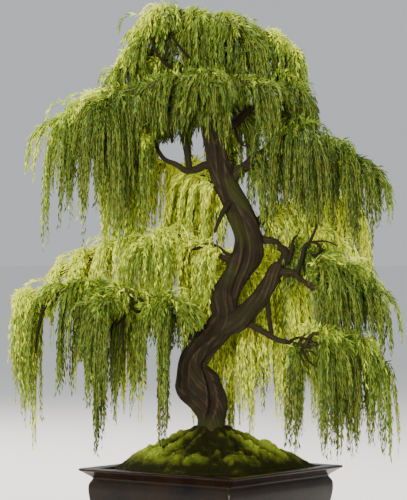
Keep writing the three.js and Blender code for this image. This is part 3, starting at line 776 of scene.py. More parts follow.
def bark_relief(way, angle, random):
    """Relief of the bark as a share of the limb's radius, and a painted highlight that grows the further each
    point is up its crest: ropes of wood that twist round the limb, each with finer ropes on it, and grooves
    between them."""
    relief = np.zeros(np.broadcast_shapes(way.shape, angle.shape))
    fine = np.zeros_like(relief)
    for ropes, depth, twist in BARK_ROPES:
        if ropes * LEAST_SIDES_PER_ROPE > angle.size:
            break
        sway = BARK_SWAY * wander(way, random)
        phase = 0.5 * ropes * (angle + twist * way) + sway + random.uniform(0, TURN)
        swell = 1 - ROPE_SWELL + ROPE_SWELL * wander(way, random)
        rope = depth * swell * (np.sqrt(np.abs(np.cos(phase))) - ROPE_MEAN)
        relief = relief + rope
        if ropes >= FINE_ROPES:
            fine = fine + rope
    low, high = np.percentile(fine, CREST_RANGE)
    return relief, CREST_SHARE * np.clip((fine - low) / max(high - low, 1e-9), 0, 1) ** CREST_SHARPNESS


def limb_mesh(line, radii, relief_share, random, cut=0.0, edge=0.0):
    """A limb with bark relief: its points, its faces, and the painted highlight at each point, which grows
    the further it is up a crest of the bark. cut is how deep its grooves are cut, as a share of its radius,
    and also paints shade into them; edge paints a highlight along the grooves' edges."""
    rings, sides = radii.shape
    steps = np.linalg.norm(np.diff(line, axis=0), axis=1)
    way = np.concatenate(((0,), np.cumsum(steps)))[:, None]
    angle = np.linspace(0, TURN, sides, endpoint=False)[None, :]
    relief, crest = bark_relief(way, angle, random)
    round_off = np.sqrt(np.clip((way[-1] - way) / np.maximum(radii, 1e-9), 0, 1))
    rough = radii * (1 + relief_share * relief - cut) * np.maximum(round_off, LIMB_END_SHARE)
    points = (line[:, None] + spokes(line, sides) * rough[..., None]).reshape(-1, 3)
    points = np.vstack((points, line[0], line[-1]))
    # Painted shade in the cut grooves, and a painted highlight along their edges
    crest = np.clip(crest - CUT_SHADE * cut + edge, 0, 1).ravel()
    return points, tube_faces(rings, sides), np.concatenate((crest, (END_CREST, END_CREST)))


class WILLOW_OT_trunk(bpy.types.Operator):
    """Grow the twisting trunk with its root flare and its bark"""

    bl_idname = "willow.trunk"
    bl_label = "Trunk"
    rings = 300
    sides = 224
    seed = 11
    groove_fades = (0.2, 0.3)
    # The painted highlight along the grooves' edges: its strength, how many groove widths out from the middle
    # it lies, and its width
    groove_edge = 0.60
    edge_at, edge_width = 1.8, 0.33
    # Two waves over the bark that make the green patches between them: waves along x, y and z, and a phase
    film_waves = ((70, 0, 40, 0), (0, -60, 55, 1))
    film_patch = (0.25, 1.4)
    film_under, film_foot_share = (0.185, 0.025), 0.7
    film_from, film_upper_share = (0.30, 0.2), 0.75

    def execute(self, context):
        look = context.scene.willow_bark
        line = even_line(TRUNK_LINE, self.rings)
        share = np.linspace(0, 1, self.rings)[:, None]
        angle = np.linspace(0, TURN, self.sides, endpoint=False)[None, :]
        flare = np.clip((FLARE_TOP - line[:, 2:]) / (FLARE_TOP - SOIL_TOP), 0, None)
        roots = FLARE_ROOT_SHARE * flare * np.cos(FLARE_ROOTS * angle)
        lobes = TRUNK_LOBE_SHARE * np.cos(TRUNK_LOBES * angle + TRUNK_TWIST * share)
        headings = np.degrees(np.arctan2(*np.moveaxis(spokes(line, self.sides), -1, 0)[1::-1]))
        mean = trunk_radius(line)[:, None]
        radii = mean * (1 + roots + lobes) + self.swelling(line[:, 2:], headings, mean)
        cut, edge = self.grooves(line[:, 2:], headings, mean)
        random = np.random.default_rng(self.seed)
        points, faces, crest = limb_mesh(line, radii, look.relief, random, cut, edge)
        mossy = self.moss_film(points)
        piece = make_piece("trunk_bark", points, faces, (bark_material(look),),
                           values={"crest": crest, "mossy": mossy})
        place(piece, "bark", "trunk")
        return {"FINISHED"}

    def swelling(self, heights, headings, mean):
        """How far the knuckles stand out at each point of the trunk."""
        total = np.zeros(headings.shape)
        for knuckle in KNUCKLES:
            aside = np.radians(angle_between(headings, knuckle.heading)) * mean
            away = np.hypot(aside, heights - knuckle.height) / knuckle.width
            total += knuckle.rise * np.exp(-(away**2))
        return total

    def grooves(self, heights, headings, mean):
        """How deep the winding grooves are at each point of the trunk, and how much painted highlight their
        edges get.
        """
        total, edge = np.zeros(headings.shape), np.zeros(headings.shape)
        foot_fade, tip_fade = self.groove_fades
        for groove in GROOVES:
            middle = np.interp(heights, groove.heights, groove.headings)
            aside = np.radians(angle_between(headings, middle)) * mean / groove.width
            length = groove.heights[-1] - groove.heights[0]
            share = (heights - groove.heights[0]) / length
            fade = fade_in(share, 0, foot_fade) * fade_out(share, 1, tip_fade)
            total = np.maximum(total, groove.depth * fade * np.exp(-(aside**2)))
            beside = (np.abs(aside) - self.edge_at) / self.edge_width
            edge = np.maximum(edge, self.groove_edge * fade * np.exp(-(beside**2)))
        return total, edge

    def moss_film(self, points):
        """How green the bark is: at the foot, and in patches on the upper trunk."""
        x, y, z = points.T
        first, second = (np.sin(a * x + b * y + c * z + d) for a, b, c, d in self.film_waves)
        usual, gain = self.film_patch
        foot = fade_out(z, *self.film_under)
        patches = smoothstep(usual + first * second * gain)
        upper = fade_in(z, *self.film_from) * patches * self.film_upper_share
        return np.clip(self.film_foot_share * foot + upper, 0, 1)


class WILLOW_OT_boughs(bpy.types.Operator):
    """Grow the boughs and the bare twigs with their bark"""

    bl_idname = "willow.boughs"
    bl_label = "Boughs"
    rings = 64
    sides = 48
    first_seed = 200
    relief_share = 0.8
    film = 0.12
    gnarl = 0.035
    gnarl_length = 0.45
    gnarl_hold = 0.8
    twig_rings = 28
    twig_sides = 12
    twig_seed = 300
    twig_relief_share = 0.6
    twig_film = 0.1

    def execute(self, context):
        look = context.scene.willow_bark
        for number, bough in enumerate(BOUGHS):
            random = np.random.default_rng(self.first_seed + number)
            curve = bezier(BOUGH_CURVES[bough.name], np.linspace(0, 1, CURVE_POINTS))
            line = self.crooked(even_line(curve, self.rings), random)
            share = np.linspace(0, 1, self.rings)[:, None]
            foot, tip = bough.thick
            collar = 1 + COLLAR_SHARE * (1 - share) ** COLLAR_FADE
            taper = (foot + (tip - foot) * share) * collar
            if bough.masses:
                last = fade_in(share, BOUGH_TAPER_FROM, 1 - BOUGH_TAPER_FROM)
                taper = taper + (STEM_RADIUS[0] - taper) * last
            radii = np.repeat(taper, self.sides, axis=1)
            self.add(bough.name, line, radii, look, random)
        self.add_twigs(look)
        return {"FINISHED"}

    def crooked(self, line, random):
        """A limb's line with the small crooks of slow growth, and its two ends where they were."""
        length = line_length(line)
        share = np.linspace(0, 1, len(line))
        held = np.sin(math.pi * share) ** self.gnarl_hold
        moves = [wander(share * self.gnarl_length, random) * held for _ in range(3)]
        return line + self.gnarl * length * np.stack(moves, axis=1)

    def add(self, name, line, radii, look, random):
        """One bough with its bark, in place of its solid."""
        points, faces, crest = limb_mesh(line, radii, look.relief * self.relief_share, random)
        mossy = np.full(len(points), self.film)
        piece = make_piece(name + "_bark", points, faces, (bark_material(look),),
                           values={"crest": crest, "mossy": mossy})
        place(piece, "bark", name)

    def add_twigs(self, look):
        """The bare twigs, joined into one piece."""
        random = np.random.default_rng(self.twig_seed)
        parts, highlights = [], []
        for stations, foot, tip in BARE_TWIGS:
            line = spline(np.array(stations), self.twig_rings)
            radii = np.repeat(np.linspace(foot, tip, len(line))[:, None], self.twig_sides, axis=1)
            points, faces, crest = limb_mesh(line, radii, look.relief * self.twig_relief_share, random)
            parts.append((points, faces))
            highlights.append(crest)
        points, faces = joined(parts)
        mossy = np.full(len(points), self.twig_film)
        piece = make_piece("bare_twigs", points, faces, (bark_material(look),),
                           values={"crest": np.concatenate(highlights), "mossy": mossy})
        place(piece, "bark")


# Stems of the masses and the twigs that spring from them. A pair is a foot and a tip, or a least and a most
STEM_SETBACK = 0.010
STEM_RADIUS = (0.0030, 0.0012)
STEM_POINTS = 60
STEM_SIDES = 7
STEM_STEPS = 14
TWIG_RADIUS = (0.0009, 0.0004)
TWIG_SIDES = 3
TWIG_STEPS = 4
TWIG_WOODY_SHARE = 0.45
TWIG_SPAN = 0.058
TWIG_SPAN_LEAST = (0.10, 0.60)
TWIG_SHOULDER_AT = 0.7
TWIG_EDGE_DROP = 0.25
TWIG_LIFT = (0.005, 0.030)
APEX_HEIGHTS, APEX_LIFT = (0.62, 0.72), -0.65
TWIG_TURN = (6, 105)
TWIG_TURN_LOSS = 0.40
TASSEL_TWIGS = 3
TASSEL_WIDTH = 0.0105
TASSEL_FALL_SHARE = (0.54, 1.20)
TASSEL_SHORTER = 0.40
FIRST_TWIG_AT = 0.03
TWIG_PLACES = (0.1, 1)
TOWARDS_TIP = 0.8
RUN_FALL_SHARE = 0.90
# Strands that hang from the twigs, and their leaves
STRAND_RADIUS = (0.00048, 0.00026)
STRAND_POINTS = 9
STRAND_LEAST_POINTS = 5
STRAND_TUBE_POINTS = 4
STRAND_SIDES = 3
STRAND_START = (0.0, 0.20)
STRAND_END = (0.84, 1.0)
STRAND_PARTS_BY = 0.25
STRAND_SPREAD = 0.0085
STRAND_RISE = 0.7
STRAND_SWAY = 0.0025
STRAND_SWAY_PITCH = (6, 12)
TASSEL_POINT = 0.84
LEAF_PLACES = (0.2, 1)
LEAF_TURN = 0.6
LEAF_SPLAY = (10, 36)
LEAF_DROOP = (0.12, 0.42)
LEAF_LENGTH_SHARE = (0.6, 1.0)
LEAF_TIP_LOSS = 0.15
LEAF_WIDEST_AT = 0.40
LEAF_ARCH = 0.10
LEAF_FACES = np.array(((0, 1, 2), (1, 3, 2)))
LOWEST_LEAF = 0.104
FIRST_SEED = 101
# A twig has the first share of the strands whatever its fall, and the second by its fall beside the third
STRANDS_BY_FALL = (0.60, 0.40, 0.12)
# Thin shoots that fly up over the stems
WHIP_SPACING = 0.0056
WHIP_SPAN = (0.35, 1.1)
WHIP_TURN = 100
WHIP_LIFT = (0.010, 0.036)
WHIP_UPRIGHT = 2
WHIP_EDGE_LIFT = 0.5
WHIP_FALL = (0.10, 0.50)
WHIP_LEAF_SPACING = 0.0038
# A direction that no strand follows, to measure round the strands from
ASKEW = unit(np.array((0.31, 0.92, 0.24)))
# Balls along the limbs that foliage keeps clear of, and the limbs that it doesn't cover from the front
TRUNK_BALLS, BOUGH_BALLS = 160, 40
BOUGH_BALLS_TO = 0.93
LIMB_MARGIN = 0.0025
FACE_MARGIN = 0.004
OPEN_FACES = ("right_bough", "right_fork_bough", "right_low_bough", "left_inner_bough", "right_loop_bough")
OPEN_TRUNK = (0.155, 0.555)


class Habit(NamedTuple):
    """How a bough's foliage differs from the rest: the length of its falls, how much lighter or darker its
    leaves are painted, as painted light and shade, how close its twigs stand, and how far they reach."""

    fall: float = 1.0
    youth: float = 0.0
    density: float = 1.0
    span: float = 1.0


# The second value of each habit is its painted light: how much lighter or darker its leaves are painted
HABITS = {
    "right_fork": Habit(1.60, -0.12, 1.20),
    "right_low": Habit(1.12, 0.0, 1.15),
    "left_low": Habit(1.28, 0.0, 1.02, 1.15),
    "left_mid": Habit(1.35, 0.42),
    "left_inner": Habit(1.0, 0.20),
    "left_upper": Habit(1.0, -0.08, 1.30),
    "front": Habit(1.0, -0.22),
    "right_upper": Habit(1.15, -0.10, 1.0, 0.75),
    "right_mid": Habit(1.22, -0.34, 1.20),
    "apex_left": Habit(1.45, 0.15, 1.35, 0.65),
    "apex_right": Habit(1.50, 0.15, 1.40, 0.42),
    "apex_back": Habit(1.45, 0.0, 1.35),
    "back_upper": Habit(1.50),
    "back_mid": Habit(1.15, 0.0, 1.25),
    "back_low": Habit(1.30, 0.08, 1.72),
    "back_right": Habit(1.15, 0.18, 1.25),
    "crown_tip": Habit(1.20, 0.05, 1.35),
}


class Trail(NamedTuple):
    """A single tassel: points along its short stem, its fall, the solid that it stands in, and its habit."""

    points: tuple
    fall: float
    node: str
    habit: Habit = Habit(youth=-0.15, density=1.8, span=0.15)


TRAILS = (
    Trail(((-0.0704, -0.0124, 0.3298), (-0.0710, -0.0220, 0.3340), (-0.0710, -0.0300, 0.3280)),
          0.250, "left_low_foliage_4"),
    Trail(((-0.1660, -0.0207, 0.3710), (-0.1670, -0.0300, 0.3730), (-0.1680, -0.0380, 0.3680)),
          0.310, "left_low_foliage_1"),
    Trail(((-0.2560, -0.0310, 0.3450), (-0.2720, -0.0340, 0.3540), (-0.2840, -0.0360, 0.3470)),
          0.200, "left_low_foliage_1", Habit(youth=0.10, density=2.6, span=0.24)),
    Trail(((0.1218, -0.0221, 0.2853), (0.1260, -0.0300, 0.2790), (0.1285, -0.0360, 0.2660)),
          0.240, "right_low_foliage_2"),
    Trail(((0.1900, -0.0310, 0.2830), (0.2010, -0.0370, 0.2900), (0.2090, -0.0410, 0.2820)),
          0.190, "right_low_foliage_1", Habit(youth=0.05, density=2.4, span=0.22)),
    Trail(((0.1000, -0.0080, 0.3960), (0.1250, -0.0040, 0.4180), (0.1620, -0.0090, 0.4100)),
          0.058, "right_fork_foliage_2", Habit(youth=-0.90, density=3.6, span=0.42)),
    Trail(((0.1500, -0.0240, 0.3700), (0.1610, -0.0310, 0.3720), (0.1690, -0.0360, 0.3640)),
          0.110, "right_fork_foliage_2", Habit(youth=-0.40, density=2.4, span=0.30)),
    Trail(((-0.0240, -0.0040, 0.7700), (-0.0250, -0.0160, 0.7780), (-0.0260, -0.0280, 0.7720)),
          0.085, "crown_tip_foliage_1", Habit(youth=0.05, density=2.4, span=0.40)),
)
TINTS = ("shade", "deep", "fresh", "bright", "sunlit")
TINT_SCORES = (0.28, 0.58, 0.92, 1.25)
TINT_CHANCE = 0.24
# The point of a strand that each half's tint is read at, and what the half's painted light starts from
TINT_SPOTS = ((2, 0.0), (6, 0.12))
LOWER_HALF_FROM = 0.45
# Painted light on the leaves: how much brighter they are painted near the stem's top, on the crown's rim and
# towards the light behind
CREST_LIGHT, RIM_LIGHT, BEHIND_LIGHT = 0.92, 0.78, 1.30
CREST_DEPTH = 0.028
RIM_FROM = (0.66, 0.30)
BEHIND_FROM, BEHIND_TO, BEHIND_UNDER = (-0.05, 0.12), (0.19, 0.06), (0.62, 0.08)
CROWN_HEIGHTS = (0.10, 0.30, 0.45, 0.55, 0.65, 0.72, 0.79)
CROWN_HALF_WIDTHS = (0.33, 0.33, 0.31, 0.29, 0.21, 0.14, 0.085)


class Window(NamedTuple):
    """An opening in the crown, as seen from the front. It is clear as far back as deep."""

    left: float
    right: float
    low: float
    high: float
    deep: float = 1.0


WINDOWS = (
    Window(-0.083, -0.041, 0.552, 0.594),
    Window(-0.031, -0.011, 0.565, 0.605),
    Window(-0.098, -0.080, 0.140, 0.290),
    Window(-0.062, -0.046, 0.140, 0.280),
    Window(-0.254, -0.242, 0.140, 0.318),
    Window(-0.204, -0.190, 0.140, 0.258),
    Window(-0.262, -0.236, 0.290, 0.345, -0.030),
    Window(-0.150, -0.120, 0.292, 0.330, -0.044),
    Window(-0.120, -0.100, 0.326, 0.350, -0.034),
    Window(-0.092, -0.062, 0.698, 0.744, -0.044),
    Window(-0.062, -0.030, 0.690, 0.750, -0.040),
    Window(0.028, 0.064, 0.600, 0.640, -0.004),
    Window(0.026, 0.052, 0.548, 0.602, -0.014),
    Window(0.112, 0.142, 0.394, 0.445, -0.014),
    Window(0.142, 0.168, 0.408, 0.458, -0.020),
    Window(0.139, 0.156, 0.120, 0.222),
    Window(0.130, 0.160, 0.248, 0.299, -0.037),
)


def limb_balls():
    """Centres and radii of balls along every limb, and which of them have a face that foliage leaves open."""
    trunk = even_line(TRUNK_LINE, TRUNK_BALLS)
    centres, radii = [trunk], [trunk_radius(trunk)]
    is_open = [(trunk[:, 2] > OPEN_TRUNK[0]) & (trunk[:, 2] < OPEN_TRUNK[1])]
    for bough in BOUGHS:
        line = bezier(BOUGH_CURVES[bough.name], np.linspace(0, BOUGH_BALLS_TO, BOUGH_BALLS))
        centres.append(line)
        radii.append(np.linspace(*bough.thick, len(line)))
        is_open.append(np.full(len(line), bough.name in OPEN_FACES))
    return np.vstack(centres), np.concatenate(radii), np.concatenate(is_open)


class Stem(NamedTuple):
    """What twigs spring from: its line, its facing, the fall of its twigs, the habit of its foliage, and
    whether it is a limb itself."""

    line: np.ndarray
    facing: float
    fall: float
    habit: Habit = Habit()
    is_limb: bool = False


class Spray(NamedTuple):
    """The foliage that one bough carries: its label, its stems, and the solids that it stands for."""

    label: str
    stems: list
    nodes: list


def spray(label, path, heading, masses, leafy_from):
    """The stems of the masses at a limb's end, the first at its tip and each further one a little back, and
    the leafy run of the limb itself."""
    length = line_length(path)
    habit = HABITS.get(label, Habit())
    stems, nodes = [], []
    for number, mass in enumerate(masses):
        start = even_line(path, 2, 0, 1 - number * STEM_SETBACK / length)[1]
        facing = heading + mass.turn
        end = start + level(facing) * mass.reach - UP * mass.drop
        middle = (start + end) / 2 + UP * 2 * mass.lift
        line = bezier(np.array((start, middle, end)), np.linspace(0, 1, STEM_POINTS))
        stems.append(Stem(line, facing, mass.fall * habit.fall, habit))
        nodes.append(f"{label}_foliage_{number + 1}")
    if leafy_from < 1:
        fall = habit.fall * RUN_FALL_SHARE * np.mean([mass.fall for mass in masses])
        run = even_line(path, STEM_POINTS, leafy_from, 1)
        stems.append(Stem(run, heading, fall, habit, is_limb=True))
    return Spray(label, stems, nodes)


def trail_stem(trail):
    """The stem of a single tassel, which faces the way that it grows."""
    line = spline(np.array(trail.points), STEM_POINTS)
    along = line[-1] - line[0]
    return Stem(line, math.degrees(math.atan2(along[1], along[0])), trail.fall, trail.habit)


def all_sprays():
    """The foliage of the whole crown, bough by bough."""
    for bough in BOUGHS:
        if bough.masses:
            path = bezier(BOUGH_CURVES[bough.name], np.linspace(0, 1, CURVE_POINTS))
            label = bough.name.removesuffix("_bough")
            yield spray(label, path, bough.heading, bough.masses, bough.leafy_from)
    yield spray("crown_tip", TRUNK_LINE, TIP_HEADING, TIP_MASSES, TIP_LEAFY_FROM)
    leader = spline(np.array(LEADER), STEM_POINTS)
    tip = even_line(TRUNK_LINE, STEM_POINTS, TIP_LEAFY_FROM, 1)
    stems = [Stem(leader, TIP_HEADING + turn, LEADER_FALL, is_limb=True) for turn in (0, 180)]
    stems.append(Stem(tip, TIP_HEADING + 180, LEADER_FALL, is_limb=True))
    yield Spray("leader", stems, ["crown_tip_foliage_1"])
    yield Spray("trails", [trail_stem(trail) for trail in TRAILS], [trail.node for trail in TRAILS])


def points_along(lines, shares):
    """Points at shares of the way along lines of evenly numbered points, one share for each line."""
    spot = shares * (lines.shape[1] - 1)
    below = np.minimum(spot.astype(int), lines.shape[1] - 2)
    row = np.arange(len(lines))
    start, end = lines[row, below], lines[row, below + 1]
    return start + (end - start) * (spot - below)[:, None], unit(end - start)


class WILLOW_OT_foliage(bpy.types.Operator):
    """Grow every weeping mass: its stem, its arching twigs, their hanging strands and their leaves"""

    bl_idname = "willow.foliage"
    bl_label = "Foliage"

    def execute(self, context):
        self.look = context.scene.willow_leaf
        self.balls = limb_balls()
        leaf_materials = [self.plain(tint, getattr(self.look, tint)) for tint in TINTS]
        twig_materials = [self.plain("twig", self.look.twig), self.plain("shoot", self.look.shoot)]
        for number, one in enumerate(all_sprays()):
            random = np.random.default_rng(FIRST_SEED + number)
            leaves, tints, wood, kinds = [], [], [], []
            for stem in one.stems:
                twigs = self.twig_curves(stem, random)
                strands, owners = self.strand_lines(stem, twigs, random)
                whips = self.whip_lines(stem, random)
                for lines, spacing in ((strands, self.look.leaf_spacing), (whips, WHIP_LEAF_SPACING)):
                    points, tint = self.leaves(stem, lines, spacing, random)
                    leaves.append(points)
                    tints.append(tint)
                leafy = twigs[np.unique(owners)]
                for kind, part in self.wood(stem, leafy, np.concatenate((strands, whips))):
                    wood.append(part)
                    kinds.append(np.full(sum(len(group) for group in part[1]), kind))
            self.add_leaves(one, np.concatenate(leaves), np.concatenate(tints), leaf_materials)
            self.add_wood(one, wood, kinds, twig_materials)
        return {"FINISHED"}

    def plain(self, name, colour):
        """A soft, slightly glossy finish in one colour."""
        return new_material(name, base_color=opaque(colour), roughness=0.6, specular_ior_level=0.15)[0]

    def twig_curves(self, stem, random):
        """Twigs that spring out of a stem, arch over and hang together in pointed tassels, on one side and
        then the other: four control points each."""
        spacing = self.look.twig_spacing / stem.habit.density
        count = max(2 * TASSEL_TWIGS, round(line_length(stem.line) / spacing))
        order = np.arange(count)
        even = (order + random.uniform(*TWIG_PLACES, count)) / count
        share = FIRST_TWIG_AT + (1 - FIRST_TWIG_AT) * even**TOWARDS_TIP
        root = points_along(np.repeat(stem.line[None], count, axis=0), share)[0]
        tassel = order // TASSEL_TWIGS
        aside = np.sqrt(random.uniform(0, 1, count))
        end = self.tassel_places(stem, share, root, tassel, random)
        end = end + level(random.uniform(0, 360, count)) * (TASSEL_WIDTH * aside)[:, None]
        out = (end - root) * (1, 1, 0)
        low, high = TWIG_LIFT
        lift = ((low + (high - low) * random.uniform(0, 1, count) ** 2) * self.upright(root))[:, None]
        fall = stem.fall * random.uniform(*TASSEL_FALL_SHARE, tassel[-1] + 1)[tassel]
        fall *= 1 - TASSEL_SHORTER * aside**2
        fall = (np.minimum(fall, root[:, 2] - LOWEST_LEAF) - self.look.leaf_length)[:, None]
        shoulder = root + out * TWIG_SHOULDER_AT + UP * lift
        edge = root + out - UP * TWIG_EDGE_DROP * fall
        tip = root + out - UP * fall
        return np.stack((root, shoulder, edge, tip), axis=1)

    def tassel_places(self, stem, share, root, tassel, random):
        """The place over which each twig's tassel hangs."""
        first = np.unique(tassel, return_index=True)[1]
        count = len(first)
        side = np.where(np.arange(count) % 2, 1.0, -1.0)
        turn = side * random.uniform(*TWIG_TURN, count) * (1 - TWIG_TURN_LOSS * share[first])
        least = TWIG_SPAN_LEAST[0] + (TWIG_SPAN_LEAST[1] - TWIG_SPAN_LEAST[0]) * share[first] ** 2
        span = (TWIG_SPAN * stem.habit.span * random.uniform(least, 1))[:, None]
        return (root[first] + level(stem.facing + turn) * span)[tassel]

    def upright(self, roots):
        """How far twigs from these roots spring up, beside one low in the crown."""
        low, high = APEX_HEIGHTS
        return 1 + APEX_LIFT * fade_in(roots[:, 2], low, high - low)

    def whip_lines(self, stem, random):
        """Thin shoots that fly up over a stem, arch and droop, with few leaves."""
        count = max(2, round(line_length(stem.line) / WHIP_SPACING))
        share = random.uniform(FIRST_TWIG_AT, 1, count)
        root = points_along(np.repeat(stem.line[None], count, axis=0), share)[0]
        out = level(stem.facing + random.uniform(-WHIP_TURN, WHIP_TURN, count))
        span = (TWIG_SPAN * stem.habit.span * random.uniform(*WHIP_SPAN, count))[:, None]
        upright = 1 + WHIP_UPRIGHT * self.upright(root)
        lift = (random.uniform(*WHIP_LIFT, count) * upright / (1 + WHIP_UPRIGHT))[:, None]
        fall = (stem.fall * random.uniform(*WHIP_FALL, count))[:, None]
        shoulder = root + out * TWIG_SHOULDER_AT * span + UP * lift
        edge = root + out * span + UP * lift * WHIP_EDGE_LIFT
        tip = root + out * span - UP * fall
        whips = np.stack((root, shoulder, edge, tip), axis=1)
        line = bezier(whips, np.tile(np.linspace(0, 1, STRAND_POINTS), (count, 1)))
        return line[self.is_clear(line).all(axis=1)]

    def strand_lines(self, stem, twigs, random):
        """Strands that leave each twig near its foot, hang beside it and draw in to a point, and the number
        of each one's twig. One that would touch a limb, cover its open face or close a window ends before
        it."""
        least, more, usual_fall = STRANDS_BY_FALL
        each = round(self.look.strands * (least + more * stem.fall / usual_fall))
        owner = np.repeat(np.arange(len(twigs)), each)
        count = len(owner)
        first = random.uniform(*STRAND_START, count)[:, None]
        last = random.uniform(*STRAND_END, count)[:, None]
        way = np.linspace(0, 1, STRAND_POINTS)
        share = first + (last - first) * way
        line = bezier(twigs[owner], share)
        spread = STRAND_SPREAD * np.sqrt(random.uniform(0, 1, count))[:, None]
        aside = level(random.uniform(0, 360, count)) + UP * random.uniform(0, STRAND_RISE, count)[:, None]
        bulge = fade_in(way, 0, STRAND_PARTS_BY) * (1 - TASSEL_POINT * share)
        line += (aside * spread)[:, None] * bulge[..., None]
        pitch = random.uniform(*STRAND_SWAY_PITCH, (count, 1))
        sway = np.sin(share * pitch + random.uniform(0, TURN, (count, 1)))
        sideways = level(random.uniform(0, 360, count))[:, None]
        line += sideways * (STRAND_SWAY * sway * way)[..., None]
        kept = np.cumprod(self.is_clear(line), axis=1).sum(axis=1)
        long = kept >= STRAND_LEAST_POINTS
        line, owner, reach = line[long], owner[long], (kept[long] - 1) / (STRAND_POINTS - 1)
        return np.stack([points_along(line, part * reach)[0] for part in way], axis=1), owner

    def is_clear(self, lines):
        """Which points of strands touch no limb, are no lower than leaves may be, cover no open face of a
        limb and leave the windows open. The first two are at the twig, and count as clear."""
        centres, radii, is_open = self.balls
        points = lines[:, 2:].reshape(-1, 3)
        x, y, z = points.T
        away = points[:, None] - centres
        touches = (np.linalg.norm(away, axis=2) < radii + LIMB_MARGIN).any(axis=1)
        beside = np.hypot(away[:, is_open, 0], away[:, is_open, 2]) < radii[is_open] + FACE_MARGIN
        covers = (beside & (away[:, is_open, 1] < 0)).any(axis=1)
        closes = np.zeros(len(points), bool)
        for window in WINDOWS:
            closes |= ((x > window.left) & (x < window.right) & (z > window.low) & (z < window.high)
                       & (y < window.deep))
        good = ~(touches | covers | closes) & (z > LOWEST_LEAF)
        return np.hstack((np.ones((len(lines), 2), bool), good.reshape(len(lines), -1)))

    def leaves(self, stem, strands, spacing, random):
        """Corners of every leaf on the strands, and the tint of each."""
        lengths = np.linalg.norm(np.diff(strands, axis=1), axis=2).sum(axis=1)
        counts = np.maximum((lengths / spacing).astype(int), 1)
        owner = np.repeat(np.arange(len(strands)), counts)
        number = np.arange(len(owner)) - np.repeat(np.cumsum(counts) - counts, counts)
        share = (number + random.uniform(*LEAF_PLACES, len(owner))) / counts[owner]
        root, along = points_along(strands[owner], share)
        across = unit(np.cross(along, ASKEW))
        turn = (number * GOLDEN_ANGLE + random.uniform(-LEAF_TURN, LEAF_TURN, len(owner)))[:, None]
        outward = across * np.cos(turn) + np.cross(along, across) * np.sin(turn)
        splay = np.radians(random.uniform(*LEAF_SPLAY, len(owner)))[:, None]
        hang = np.clip(-along[:, 2:], 0, 1)
        droop = LEAF_DROOP[0] + (LEAF_DROOP[1] - LEAF_DROOP[0]) * hang
        heading = unit(along * np.cos(splay) + outward * np.sin(splay) - UP * droop)
        flat = unit(np.cross(heading, unit(random.normal(size=(len(owner), 3)))))
        size = random.uniform(*LEAF_LENGTH_SHARE, len(owner)) * (1 - LEAF_TIP_LOSS * share**3)
        corners = self.leaf_corners(root, heading, flat, size[:, None])
        half = (share > LOWER_HALF_FROM).astype(int)
        return corners, self.tints(stem, strands, random)[owner, half]

    def leaf_corners(self, root, heading, flat, size):
        """The four corners of each leaf: pointed at both ends, and bent over past its widest."""
        length = self.look.leaf_length * size
        half = flat * self.look.leaf_width * size / 2
        face = np.cross(heading, flat)
        middle = root + heading * length * LEAF_WIDEST_AT
        tip = root + heading * length - face * length * LEAF_ARCH
        return np.stack((root, middle - half, middle + half, tip), axis=1)

    def tints(self, stem, strands, random):
        """The tint of the upper and the lower half of every strand, dealt by painted light: brighter on top,
        on the crown's rim, towards the light behind and by the bough's painted light, and by chance."""
        top = stem.line[:, 2].max()
        scores = []
        for spot, base in TINT_SPOTS:
            x, y, z = strands[:, spot].T
            crest = np.exp(-np.clip(top - z, 0, None) / CREST_DEPTH)
            half_width = np.interp(z, CROWN_HEIGHTS, CROWN_HALF_WIDTHS)
            rim = fade_in(np.abs(x) / half_width, *RIM_FROM)
            behind = fade_in(y, *BEHIND_FROM) * fade_out(y, *BEHIND_TO) * fade_out(z, *BEHIND_UNDER)
            chance = random.normal(0, TINT_CHANCE, len(strands))
            light = base + stem.habit.youth + CREST_LIGHT * crest + RIM_LIGHT * rim + BEHIND_LIGHT * behind
            scores.append(light + chance)
        return np.searchsorted(TINT_SCORES, np.stack(scores, axis=1))

    def wood(self, stem, twigs, strands):
        """Tubes of a mass's stem, its twigs and its strands, each with the number of its material."""
        if not stem.is_limb:
            yield 0, self.tubes(even_line(stem.line, STEM_STEPS)[None], STEM_RADIUS, STEM_SIDES)
        woody = np.tile(np.linspace(0, TWIG_WOODY_SHARE, TWIG_STEPS), (len(twigs), 1))
        yield 0, self.tubes(bezier(twigs, woody), TWIG_RADIUS, TWIG_SIDES)
        kept = np.linspace(0, STRAND_POINTS - 1, STRAND_TUBE_POINTS).astype(int)
        yield 1, self.tubes(strands[:, kept], STRAND_RADIUS, STRAND_SIDES)

    def tubes(self, lines, radius, sides):
        """Many like tubes at once: their points and quads, open where they end inside another."""
        count, steps, _ = lines.shape
        along = unit(np.gradient(lines, axis=1))
        across = unit(np.cross(along, ASKEW))
        over = np.cross(along, across)
        angle = np.linspace(0, TURN, sides, endpoint=False)[:, None]
        ring = across[:, :, None] * np.cos(angle) + over[:, :, None] * np.sin(angle)
        points = lines[:, :, None] + ring * np.linspace(*radius, steps)[:, None, None]
        quads = tube_faces(steps, sides)[0]
        first = np.arange(count)[:, None, None] * steps * sides
        return points.reshape(-1, 3), [(quads + first).reshape(-1, 4)]

    def add_leaves(self, one, corners, tints, materials):
        """One piece with all the leaves of a bough, in place of its masses."""
        first = np.arange(len(corners))[:, None, None] * corners.shape[1]
        faces = (LEAF_FACES + first).reshape(-1, 3)
        piece = make_piece(one.label + "_leaves", corners.reshape(-1, 3), [faces], materials,
                           np.repeat(tints, len(LEAF_FACES)), smooth=False)
        place(piece, "leaf", *one.nodes)

    def add_wood(self, one, parts, kinds, materials):
        """One piece with all the stems, twigs and strands of a bough, in place of its masses."""
        points, faces = joined(parts)
        piece = make_piece(one.label + "_twigs", points, faces, materials, np.concatenate(kinds))
        place(piece, "leaf", *one.nodes)


